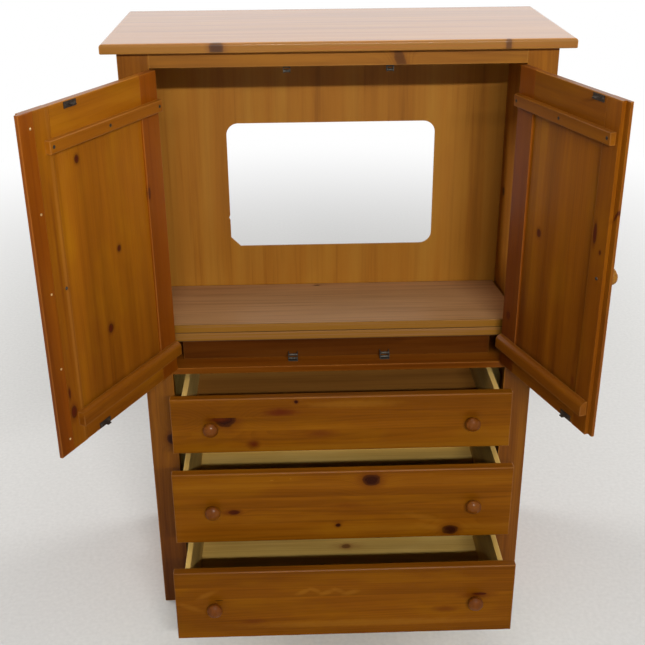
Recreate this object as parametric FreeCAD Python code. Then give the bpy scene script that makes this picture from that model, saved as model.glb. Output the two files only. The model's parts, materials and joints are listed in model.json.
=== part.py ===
"""A pine tv armoire: two inset doors over a TV bay, three drawers below.

Frame: +X to the right, +Y to the back, +Z up, millimetres.  The origin is on the floor,
at the middle of the carcass's front edge.  The doors and drawers are built closed, then
each is opened by its own named value.
"""
import FreeCAD
import Part
import math
import os

# --- carcass -------------------------------------------------------------------------
WIDTH = 900.0                 # across the side panels
DEPTH = 400.0                 # front stiles to the rear edge of the side panels
BODY_HEIGHT = 1394.0          # floor to the underside of the top board
BOARD = 20.0                  # solid pine boards
STILE_WIDTH = 64.0
TOP_THICK = 20.0
TOP_FRONT_OVERHANG = 31.0
TOP_SIDE_OVERHANG = 28.0
TOP_REAR_OVERHANG = 2.0
TOP_EDGE_RADIUS = 6.0
TOP_RAIL_HEIGHT = 34.0
TOP_BATTEN_DEPTH = 40.0       # batten behind the top rail, which carries the upper catches
BACK_THICK = 6.0
DIVIDER_THICK = 16.0
BOTTOM_BOARD_Z = 84.0
BOTTOM_BOARD_THICK = 16.0
BASE_RAIL_HEIGHT = 116.0
DRAWER_RAIL_THICK = 10.0
EDGE_EASE = 1.5               # sanded arrises

# --- sawn opening in the back panel --------------------------------------------------
CUTOUT_LEFT_MARGIN = 168.5    # from the side panels' inner faces
CUTOUT_RIGHT_MARGIN = 173.5
CUTOUT_RISE = 148.0           # above the divider board
CUTOUT_DROP = 249.0           # below the top board
CUTOUT_RADIUS = 30.0
CUTOUT_CHAMFER = 24.0         # the lower left corner was cut straight across
SAW_NICK_DEPTH = 3.0
SAW_NICK_RISE = 78.0          # above the opening's lower edge
SAW_NICK_HEIGHT = 14.0

# --- sloping TV platform -------------------------------------------------------------
PLATFORM_SLOPE = 8.06         # degrees, the front edge higher than the back
PLATFORM_BOARD = 20.0
PLATFORM_FRONT_Y = 37.0       # its lower front edge, behind the carcass's front
PLATFORM_SIDE_GAP = 4.0
PLATFORM_BACK_GAP = 1.0       # its upper back edge to the back panel
BEARER_INSET = 10.0           # behind the platform's lower front edge
BEARER_THICK = 20.0
BEARER_LEFT_INSET = 67.0      # from the side panel's inner face
BEARER_RIGHT_INSET = 75.0

# --- drawers, from the top down ------------------------------------------------------
DRAWER_NAMES = ("upper", "middle", "lower")
DRAWER_FRONT_HEIGHTS = (140.0, 185.0, 185.0)
DRAWER_PULLS = (118.0, 184.0, 276.0)   # how far each stands open
DRAWER_GAP = 2.0              # over and under each front
DRAWER_END_GAP = 3.0          # each end of a front, to the stile
DRAWER_FRONT_ROUND = 4.0
DRAWER_BOX_WIDTH = 720.0
DRAWER_SIDE_LENGTH = 350.0
DRAWER_SIDE_THICK = 12.0
DRAWER_SIDE_DROP = 11.0       # side boards below the front's top edge
DRAWER_BOTTOM_THICK = 6.0
DRAWER_BOTTOM_RISE = 10.0
DRAWER_GROOVE = 5.0
DRAWER_KNOB_X = 294.0
RUNNER_THICK = 12.0
RUNNER_UNDERLAP = 15.0        # how far the runner reaches in under the drawer side
GUIDE_WIDTH = 20.0
GUIDE_HEIGHT = 20.0
GUIDE_CLEARANCE = 1.0

# --- doors ---------------------------------------------------------------------------
DOOR_THICK = 15.0
DOOR_GAP = 2.0                # above and below each door
HINGE_GAP = 2.0               # between a stile and its door, where the hinge leaves lie
LEFT_DOOR_OPEN = 117.4        # degrees that each door stands open
RIGHT_DOOR_OPEN = 108.9
HINGE_STILE_WIDTH = 59.0
LEFT_MEETING_STILE_WIDTH = 70.0
RIGHT_MEETING_STILE_WIDTH = 60.0
DOOR_TOP_RAIL = 73.0
DOOR_BOTTOM_RAIL = 55.0
PANEL_THICK = 6.0
GROOVE_DEPTH = 8.0
PANEL_PLAY = 1.0              # left in the groove for the panel to move
MEETING_X = 24.0              # the right door's outer edge when closed
MEETING_GAP = 3.0
LIP_WIDTH = 13.0              # rebate on the right door's inner side
STRIP_WIDTH = 38.5            # closing strip on the left door
STRIP_THICK = 7.5
LIP_CLEARANCE = 0.5           # the lip to the strip's outer face when both doors are shut
STRIP_CLEARANCE = 5.0         # strip's edge to the right door's rebate
STRIP_BELOW_DOOR = 1.0
STRIP_PINS = 5
STRIP_PIN_INSET = 10.5        # from the strip's inner edge
STRIP_PIN_END = 29.0          # from the door's top and bottom
CLEAT_HINGE_INSET = 3.0
TOP_CLEAT_LEFT_INSET = 49.0   # from the leaf's free edge
TOP_CLEAT_RIGHT_INSET = 21.0
TOP_CLEAT_DROP = 58.0         # below the door's top edge
TOP_CLEAT_HEIGHT = 24.0
TOP_CLEAT_THICK = 12.0
BOTTOM_CLEAT_LEFT_INSET = 49.0
BOTTOM_CLEAT_RIGHT_INSET = 16.0
BOTTOM_CLEAT_RISE = 44.0      # above the door's bottom edge
BOTTOM_CLEAT_HEIGHT = 30.0
BOTTOM_CLEAT_THICK = 15.0
BOTTOM_CLEAT_ROUND = 12.0
CLEAT_SCREW_END = 10.0        # from each end of the top cleat
DOOR_KNOB_DROP = 4.0          # below the door's middle
LEFT_KNOB_INSET = 60.0        # from the leaf's free edge
RIGHT_KNOB_INSET = 31.0

# --- turned knobs and fixings --------------------------------------------------------
KNOB_NECK_RADIUS = 8.5
KNOB_NECK_LENGTH = 5.0
KNOB_HEAD_RADIUS = 17.25
KNOB_PROJECTION = 28.5
KNOB_SCREW_RADIUS = 2.0
KNOB_SCREW_HEAD_RADIUS = 3.4
KNOB_SCREW_HEAD_HEIGHT = 1.8
KNOB_SCREW_IN_KNOB = 12.0
CLEAT_SCREW_RADIUS = 1.75
CLEAT_SCREW_HEAD_RADIUS = 3.6
CLEAT_SCREW_LENGTH = 20.0
PIN_RADIUS = 1.0
PIN_HEAD_RADIUS = 2.3
PIN_HEAD_HEIGHT = 0.5
PIN_LENGTH = 12.0
HOLE_CLEARANCE = 0.05

# --- hinges --------------------------------------------------------------------------
HINGE_LENGTH = 50.0
HINGE_FROM_END = 75.0         # door's top or bottom edge to the middle of the hinge
HINGE_MIDDLE_SHARE = 0.4      # length of the door's knuckle
KNUCKLE_RADIUS = 3.0
HINGE_PIN_RADIUS = 1.4
HINGE_LEAF_THICK = 0.9
HINGE_LEAF_DEPTH = 13.0
KNUCKLE_CLEARANCE = 0.25
PIN_RUNNING_CLEARANCE = 0.05
KNUCKLE_END_GAP = 0.2

# --- roller catches ------------------------------------------------------------------
CATCH_X = 107.0
CATCH_FRONT_Y = 24.0
CATCH_DEPTH = 18.0
CATCH_SHEET = 1.5
CATCH_ROLLER_RADIUS = 3.0
CATCH_ROLLER_GAP = 3.4
CATCH_AXIS_RISE = 10.0        # catch's base to the middle of the rollers
LOWER_CATCH_WIDTH = 22.0
UPPER_CATCH_WIDTH = 15.0
STRIKE_WIDTH = 35.0
STRIKE_HEIGHT = 12.0
STRIKE_THICK = 1.5
STRIKE_TONGUE_LENGTH = 11.0
STRIKE_TONGUE_WIDTH = 10.0
STRIKE_TONGUE_THICK = 2.4

# --- worked out from the values above ------------------------------------------------
INNER_X = WIDTH / 2 - BOARD
OPENING_X = WIDTH / 2 - STILE_WIDTH
PIN_X = OPENING_X - HINGE_GAP / 2
BACK_Y = DEPTH - BACK_THICK
DOOR_START = HINGE_GAP / 2
TOP_RAIL_Z = BODY_HEIGHT - TOP_RAIL_HEIGHT
DRAWER_STEP = DRAWER_RAIL_THICK + 2 * DRAWER_GAP
LOWER_FRONT_Z = BASE_RAIL_HEIGHT + DRAWER_GAP
MIDDLE_FRONT_Z = LOWER_FRONT_Z + DRAWER_FRONT_HEIGHTS[2] + DRAWER_STEP
UPPER_FRONT_Z = MIDDLE_FRONT_Z + DRAWER_FRONT_HEIGHTS[1] + DRAWER_STEP
DRAWER_FRONT_Z = (UPPER_FRONT_Z, MIDDLE_FRONT_Z, LOWER_FRONT_Z)
DIVIDER_Z = UPPER_FRONT_Z + DRAWER_FRONT_HEIGHTS[0] + DRAWER_GAP
DIVIDER_TOP = DIVIDER_Z + DIVIDER_THICK
DOOR_Z = DIVIDER_TOP + DOOR_GAP
DOOR_TOP = TOP_RAIL_Z - DOOR_GAP
LIP_EDGE_U = PIN_X - MEETING_X
LEFT_EDGE_U = PIN_X + MEETING_X - MEETING_GAP
STRIP_EDGE_U = PIN_X + MEETING_X + LIP_WIDTH - STRIP_CLEARANCE
PANEL_V = (DOOR_THICK - PANEL_THICK) / 2
LIP_THICK = DOOR_THICK - STRIP_THICK - LIP_CLEARANCE
SLOPE = math.radians(PLATFORM_SLOPE)
PLATFORM_BACK_Y = BACK_Y - PLATFORM_BACK_GAP - 2 * PLATFORM_BOARD * math.sin(SLOPE)
PLATFORM_DEPTH = (PLATFORM_BACK_Y - PLATFORM_FRONT_Y) / math.cos(SLOPE)
HINGE_HEIGHTS = (DOOR_Z + HINGE_FROM_END, DOOR_TOP - HINGE_FROM_END)
KNOB_Z = (DOOR_Z + DOOR_TOP) / 2 - DOOR_KNOB_DROP
LOWER_CATCH_Z = DIVIDER_TOP + CATCH_AXIS_RISE
UPPER_CATCH_Z = TOP_RAIL_Z - CATCH_AXIS_RISE

UP = FreeCAD.Vector(0, 0, 1)
BACKWARD = FreeCAD.Vector(0, 1, 0)
RIGHTWARD = FreeCAD.Vector(1, 0, 0)


# --- small tools ---------------------------------------------------------------------
def block(x_span, y_span, z_span):
    """A box between the two ends of each span."""
    corner = FreeCAD.Vector(min(x_span), min(y_span), min(z_span))
    lengths = [abs(span[1] - span[0]) for span in (x_span, y_span, z_span)]
    return Part.makeBox(*lengths, corner)


def rod(radius, length, start, direction):
    """A round rod from start, along direction."""
    return Part.makeCylinder(radius, length, FreeCAD.Vector(*start), direction)


def ease(shape, radius, wanted):
    """Round the edges that wanted picks by their middle point and direction."""
    chosen = []
    for edge in shape.Edges:
        first, last = edge.Vertexes[0].Point, edge.Vertexes[-1].Point
        if wanted((first + last) * 0.5, last - first):
            chosen.append(edge)
    return shape.makeFillet(radius, chosen)


def is_near(a, b):
    """Whether two coordinates are the same place."""
    return abs(a - b) < 1e-4


def runs_up(along):
    """Whether an edge runs along Z."""
    return is_near(along.x, 0) and is_near(along.y, 0)


def runs_across(along):
    """Whether an edge runs along X."""
    return is_near(along.y, 0) and is_near(along.z, 0)


def save(node, solids):
    """Write one node, which is a solid or a list of separate solids."""
    shape = Part.makeCompound(solids) if isinstance(solids, list) else solids
    shape.exportStep(f"parts/{node}.step")


# --- carcass -------------------------------------------------------------------------
def top_board():
    half = WIDTH / 2 + TOP_SIDE_OVERHANG
    rear = DEPTH + TOP_REAR_OVERHANG
    board = block((-half, half), (-TOP_FRONT_OVERHANG, rear), (BODY_HEIGHT, BODY_HEIGHT + TOP_THICK))
    top = BODY_HEIGHT + TOP_THICK

    def is_front_or_end(middle, along):
        on_top = is_near(middle.z, top)
        return on_top and not is_near(middle.y, rear)

    rounded = ease(board, TOP_EDGE_RADIUS, is_front_or_end)
    return ease(
        rounded,
        TOP_EDGE_RADIUS / 2,
        lambda middle, along: is_near(middle.z, BODY_HEIGHT) and not is_near(middle.y, rear),
    )


def side_panel(side):
    panel = block((side * INNER_X, side * WIDTH / 2), (BOARD, DEPTH), (0, BODY_HEIGHT))
    return ease(panel, EDGE_EASE, lambda middle, along: is_near(middle.y, DEPTH) and runs_up(along))


def hinge_notches(side, stile):
    """Cut the round seats that the hinge knuckles need from a stile or a door's edge."""
    for height in HINGE_HEIGHTS:
        start = (side * PIN_X, 0, height - HINGE_LENGTH / 2)
        seat = rod(KNUCKLE_RADIUS + KNUCKLE_CLEARANCE, HINGE_LENGTH, start, UP)
        stile = stile.cut(seat)
    return stile


def front_stile(side):
    stile = block((side * OPENING_X, side * WIDTH / 2), (0, BOARD), (0, BODY_HEIGHT))
    stile = ease(stile, EDGE_EASE, lambda middle, along: is_near(middle.y, 0) and runs_up(along))
    return hinge_notches(side, stile)


def front_rail(z_low, z_high):
    """A rail between the two front stiles, its front edges sanded except where it meets the floor."""
    rail = block((-OPENING_X, OPENING_X), (0, BOARD), (z_low, z_high))

    def is_sanded(middle, along):
        return is_near(middle.y, 0) and runs_across(along) and middle.z > 0

    return ease(rail, EDGE_EASE, is_sanded)


def drawer_rails():
    """The two thin rails that part the drawer openings."""
    tops = [floor - DRAWER_GAP for floor in (UPPER_FRONT_Z, MIDDLE_FRONT_Z)]
    return [front_rail(top - DRAWER_RAIL_THICK, top) for top in tops]


def notched_board(z_low, z_high):
    """A full-depth board whose front tongue passes between the stiles."""
    tongue = block((-OPENING_X, OPENING_X), (0, BOARD), (z_low, z_high))
    board = block((-INNER_X, INNER_X), (BOARD, BACK_Y), (z_low, z_high))
    joined = tongue.fuse(board).removeSplitter()
    return ease(
        joined, EDGE_EASE, lambda middle, along: is_near(middle.y, 0) and runs_across(along)
    )


def corner_arc(centre_x, centre_z, start_degrees):
    """A quarter circle of the cut-out's corner, counter-clockwise seen from the front."""
    points = []
    for turn in (0, 45, 90):
        angle = math.radians(start_degrees + turn)
        x = centre_x + CUTOUT_RADIUS * math.cos(angle)
        z = centre_z + CUTOUT_RADIUS * math.sin(angle)
        points.append(FreeCAD.Vector(x, 0, z))
    return Part.Arc(*points).toShape()


def cutout_outline(left, right, low, high):
    """The sawn opening: three round corners and one cut straight across."""
    radius = CUTOUT_RADIUS
    lower_right = corner_arc(right - radius, low + radius, -90)
    upper_right = corner_arc(right - radius, high - radius, 0)
    upper_left = corner_arc(left + radius, high - radius, 90)
    left_and_low = [
        (left, high - radius),
        (left, low + CUTOUT_CHAMFER),
        (left + CUTOUT_CHAMFER, low),
        (right - radius, low),
    ]
    straight = Part.makePolygon([FreeCAD.Vector(x, 0, z) for x, z in left_and_low]).Edges
    right_side = Part.makeLine((right, 0, low + radius), (right, 0, high - radius))
    top_side = Part.makeLine((right - radius, 0, high), (left + radius, 0, high))
    edges = straight + [lower_right, right_side, upper_right, top_side, upper_left]
    return Part.Face(Part.Wire(Part.__sortEdges__(edges)))


def saw_nick(left, z):
    """The small notch where the saw ran past the opening's left edge."""
    half = SAW_NICK_HEIGHT / 2
    corners = [(left, z - half), (left - SAW_NICK_DEPTH, z), (left, z + half), (left + half, z)]
    loop = [FreeCAD.Vector(x, 0, z) for x, z in corners + corners[:1]]
    return Part.Face(Part.makePolygon(loop))


def back_panel():
    panel = block((-INNER_X, INNER_X), (BACK_Y, DEPTH), (BOTTOM_BOARD_Z, BODY_HEIGHT))
    left, right = -INNER_X + CUTOUT_LEFT_MARGIN, INNER_X - CUTOUT_RIGHT_MARGIN
    low, high = DIVIDER_TOP + CUTOUT_RISE, BODY_HEIGHT - CUTOUT_DROP
    for outline in (cutout_outline(left, right, low, high), saw_nick(left, low + SAW_NICK_RISE)):
        sawn = outline.extrude(BACKWARD * (3 * BACK_THICK))
        sawn.translate(BACKWARD * (BACK_Y - BACK_THICK))
        panel = panel.cut(sawn)
    return panel


def on_slope(shape):
    """Move a shape built level at the platform's lower back edge onto the slope."""
    shape.rotate(FreeCAD.Vector(0, 0, 0), RIGHTWARD, -PLATFORM_SLOPE)
    shape.translate(FreeCAD.Vector(0, PLATFORM_BACK_Y, DIVIDER_TOP))
    return shape


def platform_board(layer):
    half = INNER_X - PLATFORM_SIDE_GAP
    low = layer * PLATFORM_BOARD
    board = block((-half, half), (-PLATFORM_DEPTH, 0), (low, low + PLATFORM_BOARD))
    board = ease(
        board,
        EDGE_EASE,
        lambda middle, along: is_near(middle.y, -PLATFORM_DEPTH) and runs_across(along),
    )
    return on_slope(board)


def platform_bearer():
    span_x = (-INNER_X + BEARER_LEFT_INSET, INNER_X - BEARER_RIGHT_INSET)
    front_y = PLATFORM_FRONT_Y + BEARER_INSET
    span_y = (front_y, front_y + BEARER_THICK)
    bearer = block(span_x, span_y, (DIVIDER_TOP, DIVIDER_TOP + PLATFORM_DEPTH))
    above = block((-WIDTH, WIDTH), (-2 * DEPTH, DEPTH), (0, 2 * PLATFORM_DEPTH))
    return bearer.cut(on_slope(above))


def drawer_runners():
    """For each drawer, a runner and a guide strip at either side."""
    box_x = DRAWER_BOX_WIDTH / 2
    guide_x = box_x + GUIDE_CLEARANCE
    solids = []
    for floor in DRAWER_FRONT_Z:
        for side in (-1, 1):
            runner_x = (side * (box_x - RUNNER_UNDERLAP), side * INNER_X)
            solids.append(block(runner_x, (BOARD, BACK_Y), (floor - RUNNER_THICK, floor)))
            strip_x = (side * guide_x, side * (guide_x + GUIDE_WIDTH))
            solids.append(block(strip_x, (BOARD, BACK_Y), (floor, floor + GUIDE_HEIGHT)))
    return solids


def roller_catch(x, width, axis_z, base_direction):
    """A sheet-metal catch with two rollers; its base faces base_direction along Z."""
    base_z = axis_z + base_direction * CATCH_AXIS_RISE
    tip_z = axis_z - base_direction * (CATCH_ROLLER_GAP / 2 + 2 * CATCH_ROLLER_RADIUS)
    rear = CATCH_FRONT_Y + CATCH_DEPTH
    base = block(
        (x - width / 2, x + width / 2),
        (CATCH_FRONT_Y, rear),
        (base_z, base_z - base_direction * CATCH_SHEET),
    )
    inner = width / 2 - CATCH_SHEET
    body = base
    for side in (-1, 1):
        cheek = block((x + side * inner, x + side * width / 2), (CATCH_FRONT_Y, rear), (base_z, tip_z))
        body = body.fuse(cheek)
    solids = [body.removeSplitter()]
    roller_y = CATCH_FRONT_Y + CATCH_ROLLER_RADIUS + 2
    for side in (-1, 1):
        roller_z = axis_z + side * (CATCH_ROLLER_GAP / 2 + CATCH_ROLLER_RADIUS)
        solids.append(rod(CATCH_ROLLER_RADIUS, 2 * inner, (x - inner, roller_y, roller_z), RIGHTWARD))
    return solids


def door_catches():
    solids = []
    for side in (-1, 1):
        solids += roller_catch(side * CATCH_X, LOWER_CATCH_WIDTH, LOWER_CATCH_Z, -1)
        solids += roller_catch(side * CATCH_X, UPPER_CATCH_WIDTH, UPPER_CATCH_Z, 1)
    return solids


# --- hinges --------------------------------------------------------------------------
def knuckle_spans(height):
    """The Z spans of the frame's two knuckles, and of the door's knuckle between them."""
    low, high = height - HINGE_LENGTH / 2, height + HINGE_LENGTH / 2
    half_middle = HINGE_LENGTH * HINGE_MIDDLE_SHARE / 2
    middle = (height - half_middle, height + half_middle)
    outer = [(low, middle[0] - KNUCKLE_END_GAP), (middle[1] + KNUCKLE_END_GAP, high)]
    return outer, middle


def leaf(near_u, far_u, height, own_spans, other_spans, bore):
    """A hinge leaf and its knuckles, for a hinge line at the local origin."""
    low, high = height - HINGE_LENGTH / 2, height + HINGE_LENGTH / 2
    shape = block((near_u, far_u), (0, HINGE_LEAF_DEPTH), (low, high))
    for span in other_spans:
        room = KNUCKLE_RADIUS + KNUCKLE_CLEARANCE
        start = (0, 0, span[0] - KNUCKLE_END_GAP)
        shape = shape.cut(rod(room, span[1] - span[0] + 2 * KNUCKLE_END_GAP, start, UP))
    for span in own_spans:
        shape = shape.fuse(rod(KNUCKLE_RADIUS, span[1] - span[0], (0, 0, span[0]), UP))
    return shape.cut(rod(bore, HINGE_LENGTH, (0, 0, low), UP)).removeSplitter()


def frame_hinge_pieces(side):
    """The leaves on one front stile and the pins that they hold."""
    solids = []
    for height in HINGE_HEIGHTS:
        outer, middle = knuckle_spans(height)
        near, far = -HINGE_GAP / 2, -HINGE_GAP / 2 + HINGE_LEAF_THICK
        plate = leaf(near, far, height, outer, [middle], HINGE_PIN_RADIUS)
        pin = rod(HINGE_PIN_RADIUS, HINGE_LENGTH, (0, 0, height - HINGE_LENGTH / 2), UP)
        solids += [plate, pin]
    return [from_hinge_line(solid, side) for solid in solids]


def door_hinge_leaves():
    """The leaves on a door's hinge edge, in the door's own frame."""
    solids = []
    for height in HINGE_HEIGHTS:
        outer, middle = knuckle_spans(height)
        near, far = HINGE_GAP / 2 - HINGE_LEAF_THICK, HINGE_GAP / 2
        bore = HINGE_PIN_RADIUS + PIN_RUNNING_CLEARANCE
        solids.append(leaf(near, far, height, [middle], outer, bore))
    return solids


def from_hinge_line(shape, side):
    """Take a shape built from the hinge line, X towards the door's free edge, to its side."""
    placed = shape if side < 0 else shape.mirror(FreeCAD.Vector(0, 0, 0), RIGHTWARD)
    placed.translate(RIGHTWARD * (side * PIN_X))
    return placed


# --- knobs and screws ----------------------------------------------------------------
def knob_profile():
    """Half the turned outline: radius along X, distance out of the face along -Y."""
    neck, head = KNOB_NECK_RADIUS, KNOB_HEAD_RADIUS
    bore, bore_end = KNOB_SCREW_RADIUS + HOLE_CLEARANCE, KNOB_SCREW_IN_KNOB

    def at(radius, out):
        return FreeCAD.Vector(radius, -out, 0)

    neck_end = at(neck, KNOB_NECK_LENGTH)
    shoulder = at(0.87 * head, 0.39 * KNOB_PROJECTION)
    brow = at(0.78 * head, 0.84 * KNOB_PROJECTION)
    tip = at(0, KNOB_PROJECTION)
    inside = [tip, at(0, bore_end), at(bore, bore_end), at(bore, 0), at(neck, 0), neck_end]
    straight = Part.makePolygon(inside)
    flare = Part.Arc(neck_end, at(0.3 * neck + 0.44 * head, 0.3 * KNOB_PROJECTION), shoulder)
    belly = Part.Arc(shoulder, at(head, 0.6 * KNOB_PROJECTION), brow)
    crown = Part.Arc(brow, at(0.42 * head, 0.965 * KNOB_PROJECTION), tip)
    # Splines, because an arc whose centre lies across the axis turns into a broken torus.
    curves = [arc.toBSpline().toShape() for arc in (flare, belly, crown)]
    return Part.Face(Part.Wire(Part.__sortEdges__(straight.Edges + curves)))


def knob(x, z):
    """A knob with its screw's blind bore, on a face at Y = 0, standing out to the front."""
    turned = knob_profile().revolve(FreeCAD.Vector(0, 0, 0), BACKWARD, 360)
    turned.translate(FreeCAD.Vector(x, 0, z))
    return turned


def knob_screw(x, z, front_thick):
    """A pan-head screw from the inside of a front into its knob."""
    shank_start = (x, -KNOB_SCREW_IN_KNOB + HOLE_CLEARANCE, z)
    shank_length = front_thick + KNOB_SCREW_IN_KNOB - HOLE_CLEARANCE
    shank = rod(KNOB_SCREW_RADIUS, shank_length, shank_start, BACKWARD)
    head = rod(KNOB_SCREW_HEAD_RADIUS, KNOB_SCREW_HEAD_HEIGHT, (x, front_thick, z), BACKWARD)
    rim = front_thick + KNOB_SCREW_HEAD_HEIGHT
    head = ease(head, KNOB_SCREW_HEAD_HEIGHT / 2, lambda middle, along: is_near(middle.y, rim))
    return shank.fuse(head)


def knob_screw_hole(x, z, front_thick):
    """The hole through a door or drawer front for a knob screw."""
    return rod(KNOB_SCREW_RADIUS + HOLE_CLEARANCE, front_thick, (x, 0, z), BACKWARD)


# --- drawers -------------------------------------------------------------------------
def ease_top(board, top):
    """Round the two long upper edges of a drawer's side or back."""
    length = max(board.BoundBox.XLength, board.BoundBox.YLength)
    return ease(
        board, EDGE_EASE, lambda middle, along: is_near(middle.z, top) and is_near(along.Length, length)
    )


def drawer(index):
    """The nodes of one drawer, pulled out by its own distance."""
    name = DRAWER_NAMES[index]
    height = DRAWER_FRONT_HEIGHTS[index]
    floor = DRAWER_FRONT_Z[index]
    half_front = OPENING_X - DRAWER_END_GAP
    box_x = DRAWER_BOX_WIDTH / 2
    inner_x = box_x - DRAWER_SIDE_THICK
    side_top = floor + height - DRAWER_SIDE_DROP
    front_y = BOARD
    rear_y = front_y + DRAWER_SIDE_LENGTH
    bottom_z = floor + DRAWER_BOTTOM_RISE
    knob_z = floor + height / 2

    bottom = block(
        (-inner_x - DRAWER_GROOVE, inner_x + DRAWER_GROOVE),
        (front_y - DRAWER_GROOVE, rear_y - DRAWER_SIDE_THICK + DRAWER_GROOVE),
        (bottom_z, bottom_z + DRAWER_BOTTOM_THICK),
    )
    front = block((-half_front, half_front), (0, front_y), (floor, floor + height))
    front = ease(front, DRAWER_FRONT_ROUND, lambda middle, along: is_near(middle.y, 0))
    front_top = floor + height
    front = ease(
        front, EDGE_EASE, lambda middle, along: is_near(middle.z, front_top) and middle.y > BOARD / 2
    )
    knobs, screws = [], []
    for side in (-1, 1):
        x = side * DRAWER_KNOB_X
        knobs.append(knob(x, knob_z))
        screws.append(knob_screw(x, knob_z, BOARD))
        front = front.cut(knob_screw_hole(x, knob_z, BOARD))
    sides = []
    for side in (-1, 1):
        board = block((side * inner_x, side * box_x), (front_y, rear_y), (floor, side_top))
        sides.append(ease_top(board, side_top).cut(bottom))
    back = block((-inner_x, inner_x), (rear_y - DRAWER_SIDE_THICK, rear_y), (floor, side_top))
    back = ease_top(back, side_top)
    nodes = {
        f"{name}_drawer_front": front.cut(bottom),
        f"{name}_drawer_sides": sides,
        f"{name}_drawer_back": back.cut(bottom),
        f"{name}_drawer_bottom": bottom,
        f"{name}_drawer_knobs": knobs,
        f"{name}_drawer_knob_screws": screws,
    }
    for solids in nodes.values():
        for solid in solids if isinstance(solids, list) else [solids]:
            solid.translate(BACKWARD * -DRAWER_PULLS[index])
    return nodes


# --- doors ---------------------------------------------------------------------------
def cleat_screw(u, z):
    """A countersunk screw through the top cleat into the door, and the hole that it fills."""
    face_v = DOOR_THICK + TOP_CLEAT_THICK
    reach = CLEAT_SCREW_HEAD_RADIUS - CLEAT_SCREW_RADIUS
    start = (u, face_v - CLEAT_SCREW_LENGTH, z)
    cone_base = FreeCAD.Vector(u, face_v - reach, z)

    def countersunk(extra):
        shank = rod(CLEAT_SCREW_RADIUS + extra, CLEAT_SCREW_LENGTH, start, BACKWARD)
        cone = Part.makeCone(
            CLEAT_SCREW_RADIUS + extra, CLEAT_SCREW_HEAD_RADIUS + extra, reach, cone_base, BACKWARD
        )
        return shank.fuse(cone).removeSplitter()

    return countersunk(0), countersunk(HOLE_CLEARANCE)


def strip_pin(u, z):
    """A round-head pin through the closing strip into the leaf below it, and its hole."""
    start = (u, DOOR_THICK - PIN_LENGTH, z)
    shank = rod(PIN_RADIUS, PIN_LENGTH, start, BACKWARD)
    head = rod(PIN_HEAD_RADIUS, PIN_HEAD_HEIGHT, (u, DOOR_THICK, z), BACKWARD)
    hole = rod(PIN_RADIUS + HOLE_CLEARANCE, PIN_LENGTH, start, BACKWARD)
    return shank.fuse(head), hole


def strike_plates():
    """The plates and tongues that the upper and lower catches grip."""
    u = PIN_X - CATCH_X
    solids = []
    for z in (LOWER_CATCH_Z, UPPER_CATCH_Z):
        plate = block(
            (u - STRIKE_WIDTH / 2, u + STRIKE_WIDTH / 2),
            (DOOR_THICK, DOOR_THICK + STRIKE_THICK),
            (z - STRIKE_HEIGHT / 2, z + STRIKE_HEIGHT / 2),
        )
        tongue = block(
            (u - STRIKE_TONGUE_WIDTH / 2, u + STRIKE_TONGUE_WIDTH / 2),
            (DOOR_THICK, DOOR_THICK + STRIKE_THICK + STRIKE_TONGUE_LENGTH),
            (z - STRIKE_TONGUE_THICK / 2, z + STRIKE_TONGUE_THICK / 2),
        )
        solids.append(plate.fuse(tongue).removeSplitter())
    return solids


def framed_leaf(name, edge_u, meeting_width):
    """A door's two stiles, two rails and loose panel, in the door's own frame."""
    stile_end = DOOR_START + HINGE_STILE_WIDTH
    meeting_start = edge_u - meeting_width
    panel_low, panel_high = DOOR_Z + DOOR_BOTTOM_RAIL, DOOR_TOP - DOOR_TOP_RAIL
    groove_v = (PANEL_V, PANEL_V + PANEL_THICK)
    thick = (0, DOOR_THICK)
    tall = (DOOR_Z, DOOR_TOP)
    # The same groove runs round the frame for the panel and takes the rails' tongues.
    groove_u = (stile_end - GROOVE_DEPTH, meeting_start + GROOVE_DEPTH)
    stile_groove = block(groove_u, groove_v, tall)
    panel_groove = block(groove_u, groove_v, (panel_low - GROOVE_DEPTH, panel_high + GROOVE_DEPTH))

    def rail(z_span):
        body = block((stile_end, meeting_start), thick, z_span)
        body = ease(body, EDGE_EASE, lambda middle, along: runs_across(along))
        tongues = block(groove_u, groove_v, z_span)
        return body.fuse(tongues).removeSplitter().cut(panel_groove)

    hold = GROOVE_DEPTH - PANEL_PLAY
    panel = block(
        (stile_end - hold, meeting_start + hold), groove_v, (panel_low - hold, panel_high + hold)
    )

    def stile(u_span):
        board = block(u_span, thick, tall)
        return ease(board, EDGE_EASE, lambda middle, along: runs_up(along)).cut(stile_groove)

    return {
        f"{name}_hinge_stile": notch_door_edge(stile((DOOR_START, stile_end))),
        f"{name}_meeting_stile": stile((meeting_start, edge_u)),
        f"{name}_top_rail": rail((panel_high, DOOR_TOP)),
        f"{name}_bottom_rail": rail((DOOR_Z, panel_low)),
        f"{name}_panel": panel,
    }


def notch_door_edge(stile):
    """Give the knuckles their room in a door's hinge edge, in the door's own frame."""
    for height in HINGE_HEIGHTS:
        start = (0, 0, height - HINGE_LENGTH / 2)
        stile = stile.cut(rod(KNUCKLE_RADIUS + KNUCKLE_CLEARANCE, HINGE_LENGTH, start, UP))
    return stile


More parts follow.
